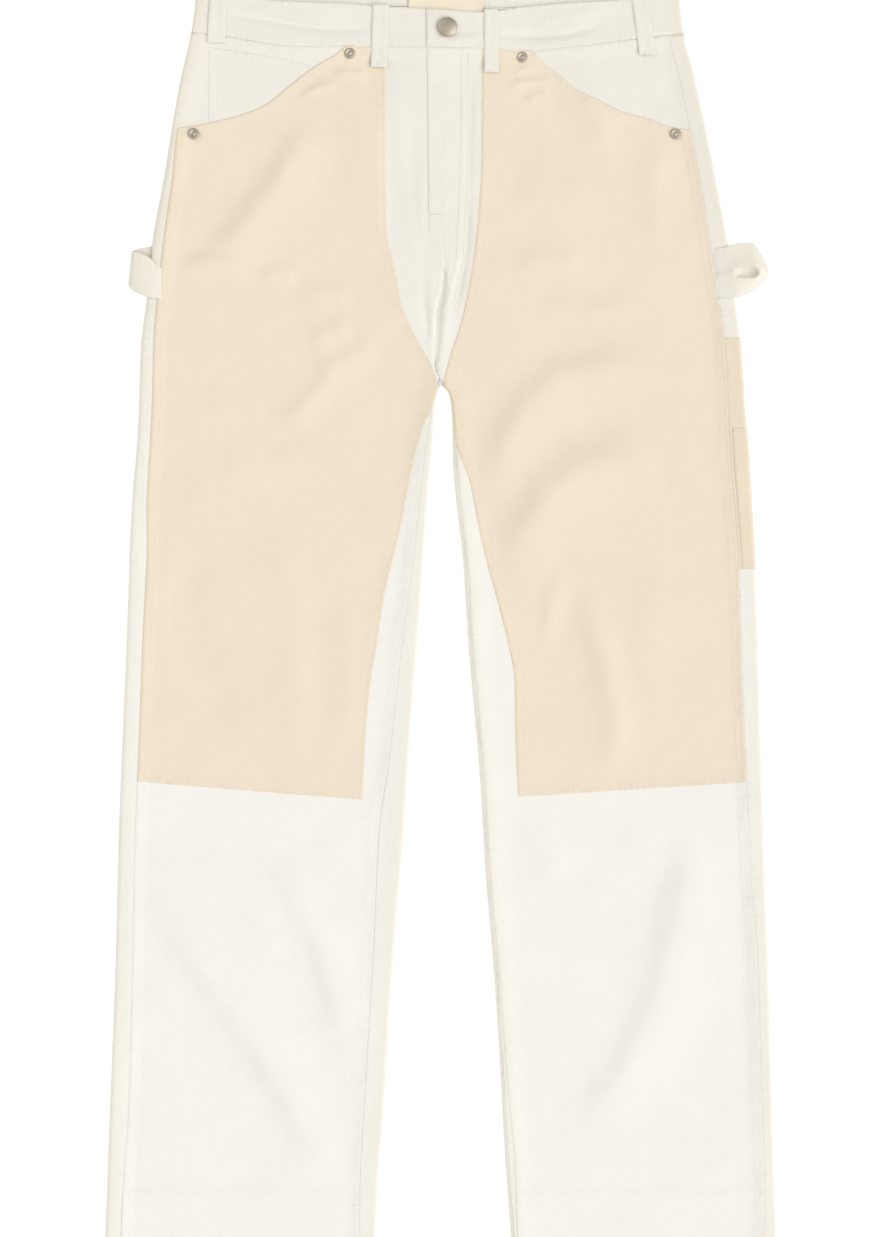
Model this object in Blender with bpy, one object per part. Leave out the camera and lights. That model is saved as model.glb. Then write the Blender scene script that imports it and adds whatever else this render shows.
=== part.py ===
"""Canvas trousers with a beige double front, laid flat with the front up.

World frame: metres, +Z up, +Y towards the waist, the floor at Z = 0.
All sizes below are millimetres on the garment: "up" is the height above the hem,
"out" is the distance from the centre line, and x runs to the right of the picture.
"""
import math

import bmesh
import bpy
import numpy as np

MM = 0.001

# Driving sizes
INSEAM = 762.0            # hem to crotch
OVERALL = 1135.0          # hem to the top of the back waistband
HEM_DEPTH = 40.0          # turned-up hem
CLOTH = 1.2               # wall of the cream canvas
PATCH = 1.0               # wall of the beige canvas and of the small pieces
HEM_CLOTH = 1.8           # wall where the hem is turned up
SEAM = 0.3                # room between pieces at a seam
WAIST_ROOM = 0.8          # the same below the curved waistband
EDGE_RADIUS = 3.15        # outer radius of the fold along each edge of a leg
LAY = 4.2                 # top of the front panel over the floor
EDGE_REACH = 26.0         # how far the stiff folded edge lifts the front
BAND_THICKNESS = 2.2      # waistband, cloth folded double
BAND_TOP = 2 * EDGE_RADIUS
LAP_LIFT = 2.6            # the lapped end of the waistband lies over the other end
LAP_END = 2.0             # x where the end underneath stops
LAP_REACH = 26.0          # x where the lapped end is down again
LAP_COLUMNS = (-13.3, LAP_END + 1, 14.0, LAP_REACH)   # columns of the lapped end
BAND_ROWS = 3
FLY_LIFT = 0.45
FACING_DROP = CLOTH + SEAM
FACING_TUCK = 12.0        # facing under the pocket mouth
BUTTON_DIAMETER = 17.5
RIVET_DIAMETER = 9.6
BELT_LOOP_CLOTH = 1.6
HIP = 850.0               # above this the rows lean towards the pocket mouth
WAIST = 1061.0            # waist seam at the centre front
NARROWEST = 1.2           # least width of the cream between beige and seam
LEAST_STRIP = EDGE_RADIUS + 0.85    # least width of the strip between a seam and a leg's edge
COIN_POCKET_X = (-206.5, -130.0)
COIN_POCKET_TOP = (1061.5, 1048.0)  # its top edge at the left and at the right
COIN_POCKET_LIFT = 0.45
COIN_POCKET_GAP = 1.0     # between the pocket mouth and the pocket
LOOP_TACK = 9.0           # a belt loop is sewn down this far below the waist seam
LOOP_TOP_TACK = 7.0       # and this far below its top
LOOP_PUFF = 1.6           # how far its middle stands off the waistband
TOOL_POCKET_BACK = (598.5, 803.5)   # lowest and highest point of each pocket at the side
TOOL_POCKET_FRONT = (598.5, 723.5)
SIDE_POCKET = (606.0, 802.5)
POCKET_TURN = (90, 60, 30, 0, -28)  # degrees round the side edge that such a pocket covers
BUTTON_PLACE = (5.7, 1078.0)
LABEL_X = (-29.3, 38.2)
LABEL_UP = (1094.5, 1129.0)

# Grids of the panels
KNEE_COLUMNS = 11         # columns of the front under the beige
INNER_COLUMNS = 3         # columns between the beige and the inner seam
TOP_ROWS = 7              # rows from the hip to the pocket mouth
SHIN_TOP = 380.0
SHIN_STEPS = 12
KNEE_LEVEL = 432.0
THIGH_TOP = 728.0
THIGH_STEPS = 10
CROTCH_ROWS = (-15, -6, -2, 0, 3)   # rows close to the crotch, from the inseam's end
SEAT_STEPS = 4
ARC_STEPS = 4             # round the edge of a leg
FLAT_STEPS = 3            # across the underside
BACK_COLUMNS = 2 * (ARC_STEPS + 2) + FLAT_STEPS - 1
BACK_TOP_ROWS = 4         # rows from the end of the pocket mouth to the waist
FACING_STEPS = 5
COIN_STEPS = (5, 3)       # columns and rows of the coin pocket
BAND_FRONT_STEPS = 9
BAND_BACK_STEPS = 5
SHARP_ANGLE = 40.0        # degrees, past which an edge looks sharp
SETTLE = 12               # passes that settle a height which depends on its own place

CREAM_COLOUR = (0.90, 0.855, 0.775)
BEIGE_COLOUR = (0.88, 0.764, 0.604)
LABEL_COLOUR = (0.834, 0.705, 0.505)
METAL_COLOUR = (0.50, 0.45, 0.37)

SIDES = {"left": -1, "right": 1}

# Each leg has a row for each section, bottom to top.
SECTION_COLUMNS = ("up", "outer", "inner", "side_strip", "inner_strip")
SECTIONS = {
    "left": (
        (0, 298, 58, 14, 15),
        (57, 296, 55, 14.5, 17),
        (122, 293.5, 50, 16.5, 18.5),
        (251, 288.6, 41.7, 15, 19),
        (367, 285.7, 32.2, 14.5, 23),
        (429, 283.3, 28.4, 15, 18),
        (535, 278.8, 20.4, 14.5, 14),
        (606, 276.2, 15.1, 15.5, 10),
        (660, 273.5, 11.5, 13, 8),
        (713, 269, 7.1, 11.5, 6),
        (749, 267.3, 4.4, 11.5, 4),
        (762, 267, 0.3, 11.5, 4),
        (802, 265.5, 0.3, 11, 4),
        (837, 261, 0.3, 9.5, 4),
        (890, 255.7, 0.3, 10, 4),
        (944, 246, 0.3, 8, 4),
        (988, 238.9, 0.3, 5.5, 4),
        (1033, 230.9, 0.3, 6, 4),
        (1077, 221, 0.3, 6, 4),
        (1111, 216.7, 0.3, 6, 4),
    ),
    "right": (
        (0, 298, 62.5, 12, 5.5),
        (78, 295.5, 56.8, 9.5, 8),
        (160, 292.9, 52.2, 10, 5),
        (251, 290.4, 46.2, 10, 4.5),
        (321, 287.7, 40, 13, 4),
        (411, 285, 34.6, 14.5, 4),
        (535, 281.5, 24, 16, 4),
        (606, 278.4, 19.5, 15, 4),
        (660, 275.3, 13.3, 16, 4),
        (695, 273.5, 10.5, 17, 4),
        (731, 270.4, 9.8, 15.5, 4),
        (749, 269, 8, 15, 4),
        (757, 268.7, 5.3, 14.7, 4),
        (762, 268.4, 0.3, 14.5, 4),
        (802, 265.5, 0.3, 14.5, 4),
        (837, 261, 0.3, 15, 4),
        (890, 254, 0.3, 16, 4),
        (944, 244.2, 0.3, 15, 4),
        (988, 235.3, 0.3, 14.5, 4),
        (1033, 225.6, 0.3, 14, 4),
        (1077, 214.9, 0.3, 14, 4),
        (1111, 211.8, 0.3, 14, 4),
    ),
}

# Inner edge of the beige double front: height, distance from the centre line.
KNEE_EDGE_COLUMNS = ("up", "out")
KNEE_EDGE = {
    "left": ((0, 112), (394, 70), (464, 65.7), (500, 62), (535, 56), (571, 50.6), (606, 42.6),
             (642, 33.7), (677, 27.5), (713, 18.6), (731, 12.4), (749, 6), (773, 6.5), (789, 13.3),
             (805, 23), (830, 33.7), (868, 41.7), (899, 48), (951, 48.8), (1061, 48.8)),
    "right": ((0, 112), (396, 68.4), (464, 65.5), (500, 65), (535, 58.6), (571, 49.7), (606, 40),
              (642, 32), (677, 25), (695, 17.8), (713, 13), (757, 6), (773, 6), (788, 8),
              (815, 16.9), (846, 24), (878, 29.3), (914, 32.9), (951, 35.5), (1061, 36.4)),
}
KNEE_BOTTOM = {"left": (410.0, 394.0), "right": (409.4, 396.5)}   # at the side, at the inner edge

# Pocket mouth, from the side seam to the waist seam: distance from the centre line, height.
MOUTH_COLUMNS = ("out", "up")
MOUTH = {
    "left": ((48.8, 1061), (60, 1061), (81.7, 1062), (93.2, 1055), (114.6, 1042.5), (135.9, 1025.6),
             (155.4, 1010.5), (173.2, 1002.6), (192.7, 997.2), (212.2, 992.8), (240, 988)),
    "right": ((36.4, 1059), (50.6, 1058.5), (78.1, 1057.5), (94.1, 1045), (105.7, 1036),
              (123.4, 1022), (137.6, 1015.4), (162.5, 1003.4), (183.8, 998), (201.6, 991),
              (225, 987)),
}

# Waistband edges against x, signed: the front seam and top, then the back ones.
BAND_COLUMNS = ("x", "front_seam", "front_top", "back_seam", "back_top")
BAND = (
    (-222, 1074.5, 1111.0, 1074.5, 1111.0),
    (-190, 1070.5, 1106.0, 1080.0, 1116.0),
    (-161, 1065.5, 1103.0, 1086.0, 1121.5),
    (-125, 1061.5, 1101.0, 1091.5, 1127.5),
    (-85, 1062.0, 1099.7, 1095.5, 1132.0),
    (-61, 1061.5, 1097.5, 1097.0, 1133.5),
    (-13, 1061.2, 1095.0, 1098.0, 1135.0),
    (6, 1061.0, 1094.0, 1098.0, 1135.0),
    (35, 1060.0, 1092.0, 1097.5, 1134.0),
    (74, 1057.5, 1096.5, 1096.0, 1132.0),
    (119, 1061.5, 1100.5, 1092.0, 1128.0),
    (166, 1067.5, 1103.0, 1086.0, 1121.5),
    (190, 1070.5, 1107.0, 1080.0, 1116.0),
    (218, 1073.5, 1109.5, 1073.5, 1109.5),
)

# The centre front seam: height, x.
CENTRE_COLUMNS = ("up", "x")
CENTRE = ((0, 0), (762, 0), (780, -5), (798, -3.5), (826, -2.5), (846, 2), (868, 3.5),
          (900, 1), (1061, 0))

# Fly: height, left edge, right edge.
FLY_COLUMNS = ("up", "left", "right")
FLY = ((827, 8, 12.4), (841, 6.8, 15.5), (855, 5.3, 17.8), (862, 3.5, 20.2), (876, -9.8, 22.6),
       (900, -10.4, 23.8), (920, -10.8, 24.9), (997, -11.7, 27), (1059.3, -12.4, 27))

# Largest folds: side, height of the fold (troughs are negative), half width, then its line.
FOLDS = (
    ("left", 3.0, 18, ((-226, 268), (-199, 240), (-161, 188), (-106, 101), (-84, 58))),
    ("left", 1.7, 14, ((-160, 365), (-122, 291), (-97, 233), (-84, 180))),
    ("right", 2.8, 19, ((112, 80), (135, 110), (165, 152), (194, 213), (206, 256), (219, 320),
                        (236, 392))),
    ("right", 1.7, 19, ((66, 540), (78, 590), (98, 625), (122, 648), (160, 662), (222, 662))),
    ("right", -1.1, 15, ((118, 600), (141, 518), (150, 430))),
    ("right", 0.9, 16, ((186, 610), (180, 540), (188, 470))),
    ("left", -1.0, 15, ((-215, 625), (-232, 571), (-227, 527), (-183, 451))),
    ("left", 0.9, 18, ((-150, 640), (-128, 560), (-122, 480), (-130, 420))),
    ("left", 1.6, 15, ((-212, 872), (-175, 900), (-140, 940), (-102, 1005))),
    ("left", 1.3, 14, ((-108, 770), (-80, 780), (-54, 802))),
    ("right", 1.9, 14, ((50, 664), (68, 710), (90, 745), (118, 758), (160, 766), (200, 764))),
    ("right", -0.9, 15, ((96, 727), (125, 722), (160, 730))),
)


def clear_scene():
    for obj in list(bpy.data.objects):
        bpy.data.objects.remove(obj, do_unlink=True)


def read(table, columns, wanted, at):
    """The value of one named column of a table, at a place along its first column."""
    keys = [row[0] for row in table]
    values = [row[columns.index(wanted)] for row in table]
    return float(np.interp(at, keys, values))


def ease(low, high, value):
    share = min(max((value - low) / (high - low), 0.0), 1.0)
    return share * share * (3.0 - 2.0 * share)


def section(side, up, wanted):
    return read(SECTIONS[side], SECTION_COLUMNS, wanted, up)


def band(x, wanted):
    return read(BAND, BAND_COLUMNS, wanted, x)


def centre(up):
    return read(CENTRE, CENTRE_COLUMNS, "x", up)


def side_seam(side, up):
    """Where the back panel, coming round the side, meets the front."""
    return section(side, up, "outer") - max(section(side, up, "side_strip"), LEAST_STRIP)


def inner_seam(side, up):
    """The inside leg seam, and above the crotch the centre seam."""
    if up > INSEAM:
        return SIDES[side] * centre(up)
    return section(side, up, "inner") + max(section(side, up, "inner_strip"), LEAST_STRIP)


def knee_edge(side, up):
    edge = read(KNEE_EDGE[side], KNEE_EDGE_COLUMNS, "out", up)
    return max(edge, inner_seam(side, up) + SEAM / 2 + NARROWEST)


def distance_to_line(x, up, line):
    nearest = 1e9
    for (x0, up0), (x1, up1) in zip(line, line[1:]):
        run, rise = x1 - x0, up1 - up0
        share = ((x - x0) * run + (up - up0) * rise) / (run * run + rise * rise)
        share = min(max(share, 0.0), 1.0)
        nearest = min(nearest, math.hypot(x - x0 - share * run, up - up0 - share * rise))
    return nearest


def front_height(side, out, up):
    """Top of the front panel: the lay, the lifted edges and the folds."""
    to_outer = section(side, up, "outer") - out
    to_inner = out - section(side, up, "inner") + max(0.0, up - INSEAM)
    lift = BAND_TOP - LAY
    height = LAY
    height += lift * (1 - ease(EDGE_RADIUS, EDGE_REACH, to_outer))
    height += lift * (1 - ease(EDGE_RADIUS, EDGE_REACH, to_inner))
    clear = ease(EDGE_RADIUS, EDGE_REACH, to_outer) * ease(EDGE_RADIUS, EDGE_REACH, to_inner)
    clear *= ease(HEM_DEPTH / 2, 2 * HEM_DEPTH, up)
    x = SIDES[side] * out
    for fold_side, rise, half_width, line in FOLDS:
        if fold_side == side:
            height += clear * rise * math.exp(-(distance_to_line(x, up, line) / half_width) ** 2)
    return height


def place(x, up, z):
    return (x * MM, (up - OVERALL / 2) * MM, z * MM)


def plain_material(name, colour, roughness, metallic=0.0):
    material = bpy.data.materials.get(name) or bpy.data.materials.new(name)
    material.use_nodes = True
    shader = material.node_tree.nodes["Principled BSDF"]
    shader.inputs["Base Color"].default_value = (*colour, 1.0)
    shader.inputs["Roughness"].default_value = roughness
    shader.inputs["Metallic"].default_value = metallic
    return material


def make_object(name, bm, material):
    bmesh.ops.recalc_face_normals(bm, faces=bm.faces)
    mesh = bpy.data.meshes.new(name)
    bm.to_mesh(mesh)
    bm.free()
    mesh.materials.append(material)
    mesh.shade_smooth()
    mesh.set_sharp_from_angle(angle=math.radians(SHARP_ANGLE))
    obj = bpy.data.objects.new(name, mesh)
    bpy.context.scene.collection.objects.link(obj)
    return obj


def wall(name, outside, inside, material, cells=None):
    """A closed cloth wall between two grids of points, with rims round its open edges.

    outside and inside are lists of rows of (x, up, z); cells(row, column) says which
    cells of the grid are cloth. Every cell is split along the same diagonal, so that
    pieces made from the same points lie parallel.
    """
    rows, columns = len(outside), len(outside[0])
    cells = cells or (lambda row, column: True)
    filled = {(r, c) for r in range(rows - 1) for c in range(columns - 1) if cells(r, c)}
    used = {(r + i, c + j) for r, c in filled for i in (0, 1) for j in (0, 1)}
    bm = bmesh.new()
    over = {key: bm.verts.new(place(*outside[key[0]][key[1]])) for key in sorted(used)}
    under = {key: bm.verts.new(place(*inside[key[0]][key[1]])) for key in sorted(used)}
    for r, c in sorted(filled):
        corners = ((r, c), (r, c + 1), (r + 1, c + 1), (r + 1, c))
        for a, b, d in ((0, 1, 2), (0, 2, 3)):
            bm.faces.new([over[corners[i]] for i in (a, b, d)])
            bm.faces.new([under[corners[i]] for i in (d, b, a)])
        neighbours = ((r - 1, c), (r, c + 1), (r + 1, c), (r, c - 1))
        for index, neighbour in enumerate(neighbours):
            if neighbour not in filled:
                start, end = corners[index], corners[(index + 1) % 4]
                bm.faces.new((over[end], over[start], under[start]))
                bm.faces.new((over[end], under[start], under[end]))
    return make_object(name, bm, material)


def lowered(points, thickness):
    return [[(x, up, z - thickness) for x, up, z in row] for row in points]


def leg_levels():
    """Heights of the rows that a front and a back share, up to the hip."""
    shin = np.linspace(HEM_DEPTH, SHIN_TOP, SHIN_STEPS + 1)
    thigh = np.linspace(KNEE_LEVEL, THIGH_TOP, THIGH_STEPS + 1)
    crotch = [INSEAM + step for step in CROTCH_ROWS]
    seat = np.linspace(crotch[-1], HIP, SEAT_STEPS + 1)[1:]
    below = [0.0, HEM_DEPTH - 2] + [float(up) for up in shin]
    return below, [float(up) for up in (*thigh, *crotch, *seat)]


def front_rows(side):
    """Rows of a front panel: heights at the side seam and at the inner edge of the beige."""
    below, above = leg_levels()
    rows = [(up, up) for up in below] + [KNEE_BOTTOM[side]] + [(up, up) for up in above]
    return rows, len(below)


def column_out(side, column, up):
    """Distance from the centre line of one column of the front panel."""
    side_edge = side_seam(side, up) - SEAM / 2
    edge = knee_edge(side, up)
    if column <= KNEE_COLUMNS:
        return side_edge + (edge - side_edge) * column / KNEE_COLUMNS
    inner = inner_seam(side, up) + SEAM / 2
    return edge + (inner - edge) * (column - KNEE_COLUMNS) / INNER_COLUMNS


def column_top(side, column):
    """Top of one column: the pocket mouth, or the waist seam past it."""
    top = WAIST
    for _ in range(SETTLE):
        out = column_out(side, column, top)
        mouth = read(MOUTH[side], MOUTH_COLUMNS, "up", out)
        seam = band(SIDES[side] * out, "front_seam") - WAIST_ROOM
        top = min(mouth, seam)
    return top


def front_grid(side):
    """Top points of a front panel, and the row at which the beige begins."""
    rows, knee_row = front_rows(side)
    grid = []
    for at_side, at_edge in rows:
        line = []
        for column in range(KNEE_COLUMNS + INNER_COLUMNS + 1):
            share = min(column / KNEE_COLUMNS, 1.0)
            up = at_side + (at_edge - at_side) * share
            out = column_out(side, column, up)
            line.append((SIDES[side] * out, up, front_height(side, out, up)))
        grid.append(line)
    for step in range(1, TOP_ROWS + 1):
        line = []
        for column in range(KNEE_COLUMNS + INNER_COLUMNS + 1):
            up = HIP + (column_top(side, column) - HIP) * step / TOP_ROWS
            out = column_out(side, column, up)
            line.append((SIDES[side] * out, up, front_height(side, out, up)))
        grid.append(line)
    return grid, knee_row


def hem_wall(up):
    return HEM_CLOTH if up < HEM_DEPTH - 1 else CLOTH


def build_front(side, cream, beige):
    grid, knee_row = front_grid(side)
    inside = [[(x, up, z - hem_wall(up)) for x, up, z in row] for row in grid]
    wall("front_" + side, grid, inside, cream)
    under = [[(x, up, z + SEAM) for x, up, z in row[:KNEE_COLUMNS + 1]] for row in grid[knee_row:]]
    over = lowered(under, -PATCH)
    wall("knee_" + side, over, under, beige)


def back_path(side, up):
    """One section of a back panel: (out, z) of its outer and inner faces, side seam first."""
    outer, inner = section(side, up, "outer"), section(side, up, "inner")
    thick = hem_wall(up)
    out = side_seam(side, up) + SEAM / 2
    outside = [(out, front_height(side, out, up))]
    inside = [(out, front_height(side, out, up) - thick)]
    for step in range(ARC_STEPS + 1):
        angle = math.pi / 2 - math.pi * step / ARC_STEPS
        for points, radius in ((outside, EDGE_RADIUS), (inside, EDGE_RADIUS - thick)):
            points.append((outer - EDGE_RADIUS + radius * math.cos(angle),
                           EDGE_RADIUS + radius * math.sin(angle)))
    start = outer - EDGE_RADIUS
    end = inner + EDGE_RADIUS if up <= INSEAM else SEAM / 2
    for step in range(1, FLAT_STEPS):
        out = start + (end - start) * step / FLAT_STEPS
        outside.append((out, 0.0))
        inside.append((out, thick))
    for step in range(ARC_STEPS + 1):
        angle = -math.pi / 2 + math.pi * step / ARC_STEPS
        for points, radius in ((outside, EDGE_RADIUS), (inside, EDGE_RADIUS - thick)):
            points.append((end - radius * math.cos(angle), EDGE_RADIUS + radius * math.sin(angle)))
    seam = section(side, up, "inner") + max(section(side, up, "inner_strip"), LEAST_STRIP)
    out = seam - SEAM / 2
    outside.append((out, front_height(side, out, up)))
    inside.append((out, front_height(side, out, up) - thick))
    return outside, inside


def back_share(column):
    """How far round the side edge a column of the back panel lies: 0 in front, 1 behind."""
    return min(max((column - 1) / ARC_STEPS, 0.0), 1.0)


def seam_height(x, share):
    """Height of the waist seam at x, between the front seam and the back seam."""
    front, behind = band(x, "front_seam"), band(x, "back_seam")
    return front + (behind - front) * share


def back_level(side, row, column, levels, path_column):
    """Height of one point of the back panel, level with the front's rows at both seams."""
    knee_row = levels.index(None)
    if row == knee_row:
        flat = (column - ARC_STEPS - 1) / FLAT_STEPS
        at_side, at_inner = KNEE_BOTTOM[side]
        return at_side + (at_inner - at_side) * min(max(flat, 0.0), 1.0)
    if row < len(levels):
        return levels[row]
    mouth_end = column_top(side, 0)
    past = row - len(levels) + 1
    if past <= TOP_ROWS:
        return HIP + (mouth_end - HIP) * past / TOP_ROWS
    up = mouth_end
    for _ in range(SETTLE):
        x = SIDES[side] * path_column(up)[0]
        top = seam_height(x, back_share(column)) - WAIST_ROOM
        up = mouth_end + (top - mouth_end) * (past - TOP_ROWS) / BACK_TOP_ROWS
    return up


def build_back(side, cream):
    sign = SIDES[side]
    below, above = leg_levels()
    levels = below + [None] + above
    crotch_row = levels.index(INSEAM)
    outside, inside = [], []
    for row in range(len(levels) + TOP_ROWS + BACK_TOP_ROWS):
        line_out, line_in = [], []
        for column in range(BACK_COLUMNS):
            up = back_level(side, row, column, levels,
                            lambda at, column=column: back_path(side, at)[0][column])
            (out, z), (inner_out, inner_z) = (path[column] for path in back_path(side, up))
            line_out.append((sign * out, up, z))
            line_in.append((sign * inner_out, up, inner_z))
        outside.append(line_out)
        inside.append(line_in)
    flat_end = 1 + ARC_STEPS + FLAT_STEPS
    wall("back_" + side, outside, inside, cream,
         lambda row, column: row < crotch_row or column < flat_end)


def build_facing(side, cream):
    """The cloth inside the pocket mouth, tucked under the edge of the front."""
    grid = []
    columns = KNEE_COLUMNS - 2
    for step in range(FACING_STEPS + 1):
        line = []
        for column in range(columns + 1):
            low = column_top(side, column) - FACING_TUCK
            high = WAIST
            for _ in range(SETTLE):
                out = column_out(side, column, high)
                high = band(SIDES[side] * out, "front_seam") - WAIST_ROOM
            up = low + (high - low) * step / FACING_STEPS
            out = column_out(side, column, up)
            height = front_height(side, out, up) - FACING_DROP
            line.append((SIDES[side] * out, up, height))
        grid.append(line)
    wall("facing_" + side, grid, lowered(grid, PATCH), cream)


def build_coin_pocket(cream):
    """Small pocket on the left facing, its lower end inside the pocket mouth."""
    columns, rows = COIN_STEPS
    grid = []
    for step in range(rows + 1):
        line = []
        for column in range(columns + 1):
            share = column / columns
            x = COIN_POCKET_X[0] + (COIN_POCKET_X[1] - COIN_POCKET_X[0]) * share
            top = COIN_POCKET_TOP[0] + (COIN_POCKET_TOP[1] - COIN_POCKET_TOP[0]) * share
            low = read(MOUTH["left"], MOUTH_COLUMNS, "up", -x) + COIN_POCKET_GAP
            up = low + (top - low) * step / rows
            facing = front_height("left", -x, up) - FACING_DROP
            line.append((x, up, facing + COIN_POCKET_LIFT + PATCH))
        grid.append(line)
    wall("coin_pocket", grid, lowered(grid, PATCH), cream)


def band_columns(side, end):
    """Places of the front columns of a waistband half, fly end first."""
    columns = [LAP_END - SEAM] if side == "left" else list(LAP_COLUMNS)
    last, left_over = columns[-1], BAND_FRONT_STEPS - len(columns)
    step = (end - last) / (left_over + 1)
    return columns + [last + step * count for count in range(1, left_over + 1)]


def band_path(side, up):
    """Section of a waistband half, fly end first: outer x and z, inner x and z, share behind."""
    sign = SIDES[side]
    waist = section(side, up, "outer") - EDGE_RADIUS
    small = EDGE_RADIUS - BAND_THICKNESS
    points = []
    for x in band_columns(side, sign * waist):
        lift = LAP_LIFT * (1 - ease(LAP_END, LAP_REACH, x)) if side == "right" else 0.0
        points.append((x, BAND_TOP + lift, x, BAND_TOP + lift - BAND_THICKNESS, 0.0))
    for step in range(ARC_STEPS + 1):
        angle = math.pi / 2 - math.pi * step / ARC_STEPS
        points.append((sign * (waist + EDGE_RADIUS * math.cos(angle)),
                       EDGE_RADIUS * (1 + math.sin(angle)),
                       sign * (waist + small * math.cos(angle)),
                       EDGE_RADIUS + small * math.sin(angle), step / ARC_STEPS))
    for step in range(1, BAND_BACK_STEPS + 1):
        x = sign * (waist + (SEAM / 2 - waist) * step / BAND_BACK_STEPS)
        points.append((x, 0.0, x, BAND_THICKNESS, 1.0))
    return points


def build_waistband(side, cream):
    outside, inside = [], []
    for step in range(BAND_ROWS + 1):
        share = step / BAND_ROWS
        line_out, line_in = [], []
        for column in range(BAND_FRONT_STEPS + ARC_STEPS + 1 + BAND_BACK_STEPS):
            up = WAIST
            for _ in range(SETTLE):
                x, z, inner_x, inner_z, behind = band_path(side, up)[column]
                low = seam_height(x, behind)
                front_top, back_top = band(x, "front_top"), band(x, "back_top")
                up = low + (front_top + (back_top - front_top) * behind - low) * share
            line_out.append((x, up, z))
            line_in.append((inner_x, up, inner_z))
        outside.append(line_out)
        inside.append(line_in)
    wall("waistband_" + side, outside, inside, cream)


def build_fly(cream):
    grid = []
    for up, left, right in FLY:
        line = []
        for column in range(5):
            x = left + (right - left) * column / 4
            side = "left" if x < centre(up) else "right"
            line.append((x, up, front_height(side, abs(x), up) + FLY_LIFT + PATCH))
        grid.append(line)
    wall("fly", grid, lowered(grid, PATCH), cream)


# Belt loops: name, left and right x at the top, left and right x at the foot, heights, foot level.
BELT_LOOPS = (
    ("belt_loop_front_left", -60.0, -46.5, -62.0, -48.0, 1098.5, 1043.0, 7.2),
    ("belt_loop_front_right", 38.7, 50.3, 38.7, 50.8, 1094.5, 1038.5, 7.2),
    ("belt_loop_side_left", -204.5, -190.5, -207.0, -191.5, 1106.0, 1064.5, 6.6),
    ("belt_loop_side_right", 169.5, 183.0, 176.0, 190.0, 1103.5, 1054.0, 6.6),
)


def build_belt_loops(cream):
    half = BELT_LOOP_CLOTH / 2
    for name, top_left, top_right, foot_left, foot_right, top, foot, level in BELT_LOOPS:
        seam = band((foot_left + foot_right) / 2, "front_seam")
        over = BAND_TOP + half
        path = np.array(((foot, level), (seam - LOOP_TACK, level + 0.1), (seam + 2, over + LOOP_PUFF / 2),
                         ((seam + top) / 2, over + LOOP_PUFF), (top - LOOP_TOP_TACK, over + 1.1),
                         (top, over + 0.5)))
        along = np.gradient(path, axis=0)
        along /= np.linalg.norm(along, axis=1, keepdims=True)
        outside, inside = [], []
        for (up, z), (run, rise) in zip(path, along):
            share = (up - foot) / (top - foot)
            left = foot_left + (top_left - foot_left) * share
            right = foot_right + (top_right - foot_right) * share
            for rows, offset in ((outside, half), (inside, -half)):
                rows.append([(x, up - rise * offset, z + run * offset) for x in (left, right)])
        wall(name, outside, inside, cream)


# Hammer loops: a row for each section, with x, up and z of the outer and of the inner edge.
HAMMER_LOOPS = {
    "hammer_loop_left": (
        ((-249.5, 866, 8.2), (-249.5, 838, 8.2)),
        ((-256.5, 873, 8.6), (-254.5, 838, 8.4)),
        ((-264, 877, 8.8), (-263, 840.5, 8.2)),
        ((-270.5, 879, 8.2), (-272, 844.5, 6.8)),
        ((-273.5, 880, 5.6), (-276.5, 850, 4.6)),
        ((-272.5, 881, 2.6), (-274.5, 853, 2.1)),
        ((-268, 883, 1.15), (-268, 856, 1.05)),
        ((-262, 884, 1.05), (-262, 858, 1.05)),
    ),
    "hammer_loop_right": (
        ((243.5, 882.5, 8.0), (247, 862, 8.0)),
        ((254, 884, 7.6), (256, 864.5, 9.4)),
        ((265, 887, 5.2), (264.5, 866, 10.4)),
        ((275, 887.5, 3.0), (273, 867.5, 11.0)),
        ((283.5, 878, 1.8), (278, 866, 11.2)),
        ((290, 865, 1.6), (281.5, 861, 11.0)),
        ((289.5, 859, 1.7), (280, 857.5, 10.8)),
        ((281, 849, 2.4), (275, 855.5, 10.4)),
        ((272, 842.5, 4.0), (268, 856, 10.0)),
        ((261, 839, 7.2), (261, 856, 9.6)),
        ((253, 838.5, 8.4), (254, 856, 9.0)),
        ((243.5, 839, 8.2), (246, 856, 8.4)),
    ),
}


def strap(name, edges, thickness, material):
    """A strap from pairs of points, one on each edge, thickened along its own normals."""
    ends = np.array(edges, float)
    points = np.stack([ends[:, 0], ends.mean(axis=1), ends[:, 1]], axis=1)
    along = np.gradient(points, axis=0)
    sideways = np.gradient(points, axis=1)
    normals = np.cross(along, sideways)
    normals /= np.linalg.norm(normals, axis=2, keepdims=True)
    outside = points + normals * thickness / 2
    inside = points - normals * thickness / 2
    return wall(name, outside.tolist(), inside.tolist(), material)


def build_hammer_loops(cream):
    for name, edges in HAMMER_LOOPS.items():
        strap(name, edges, BELT_LOOP_CLOTH, cream)


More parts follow.
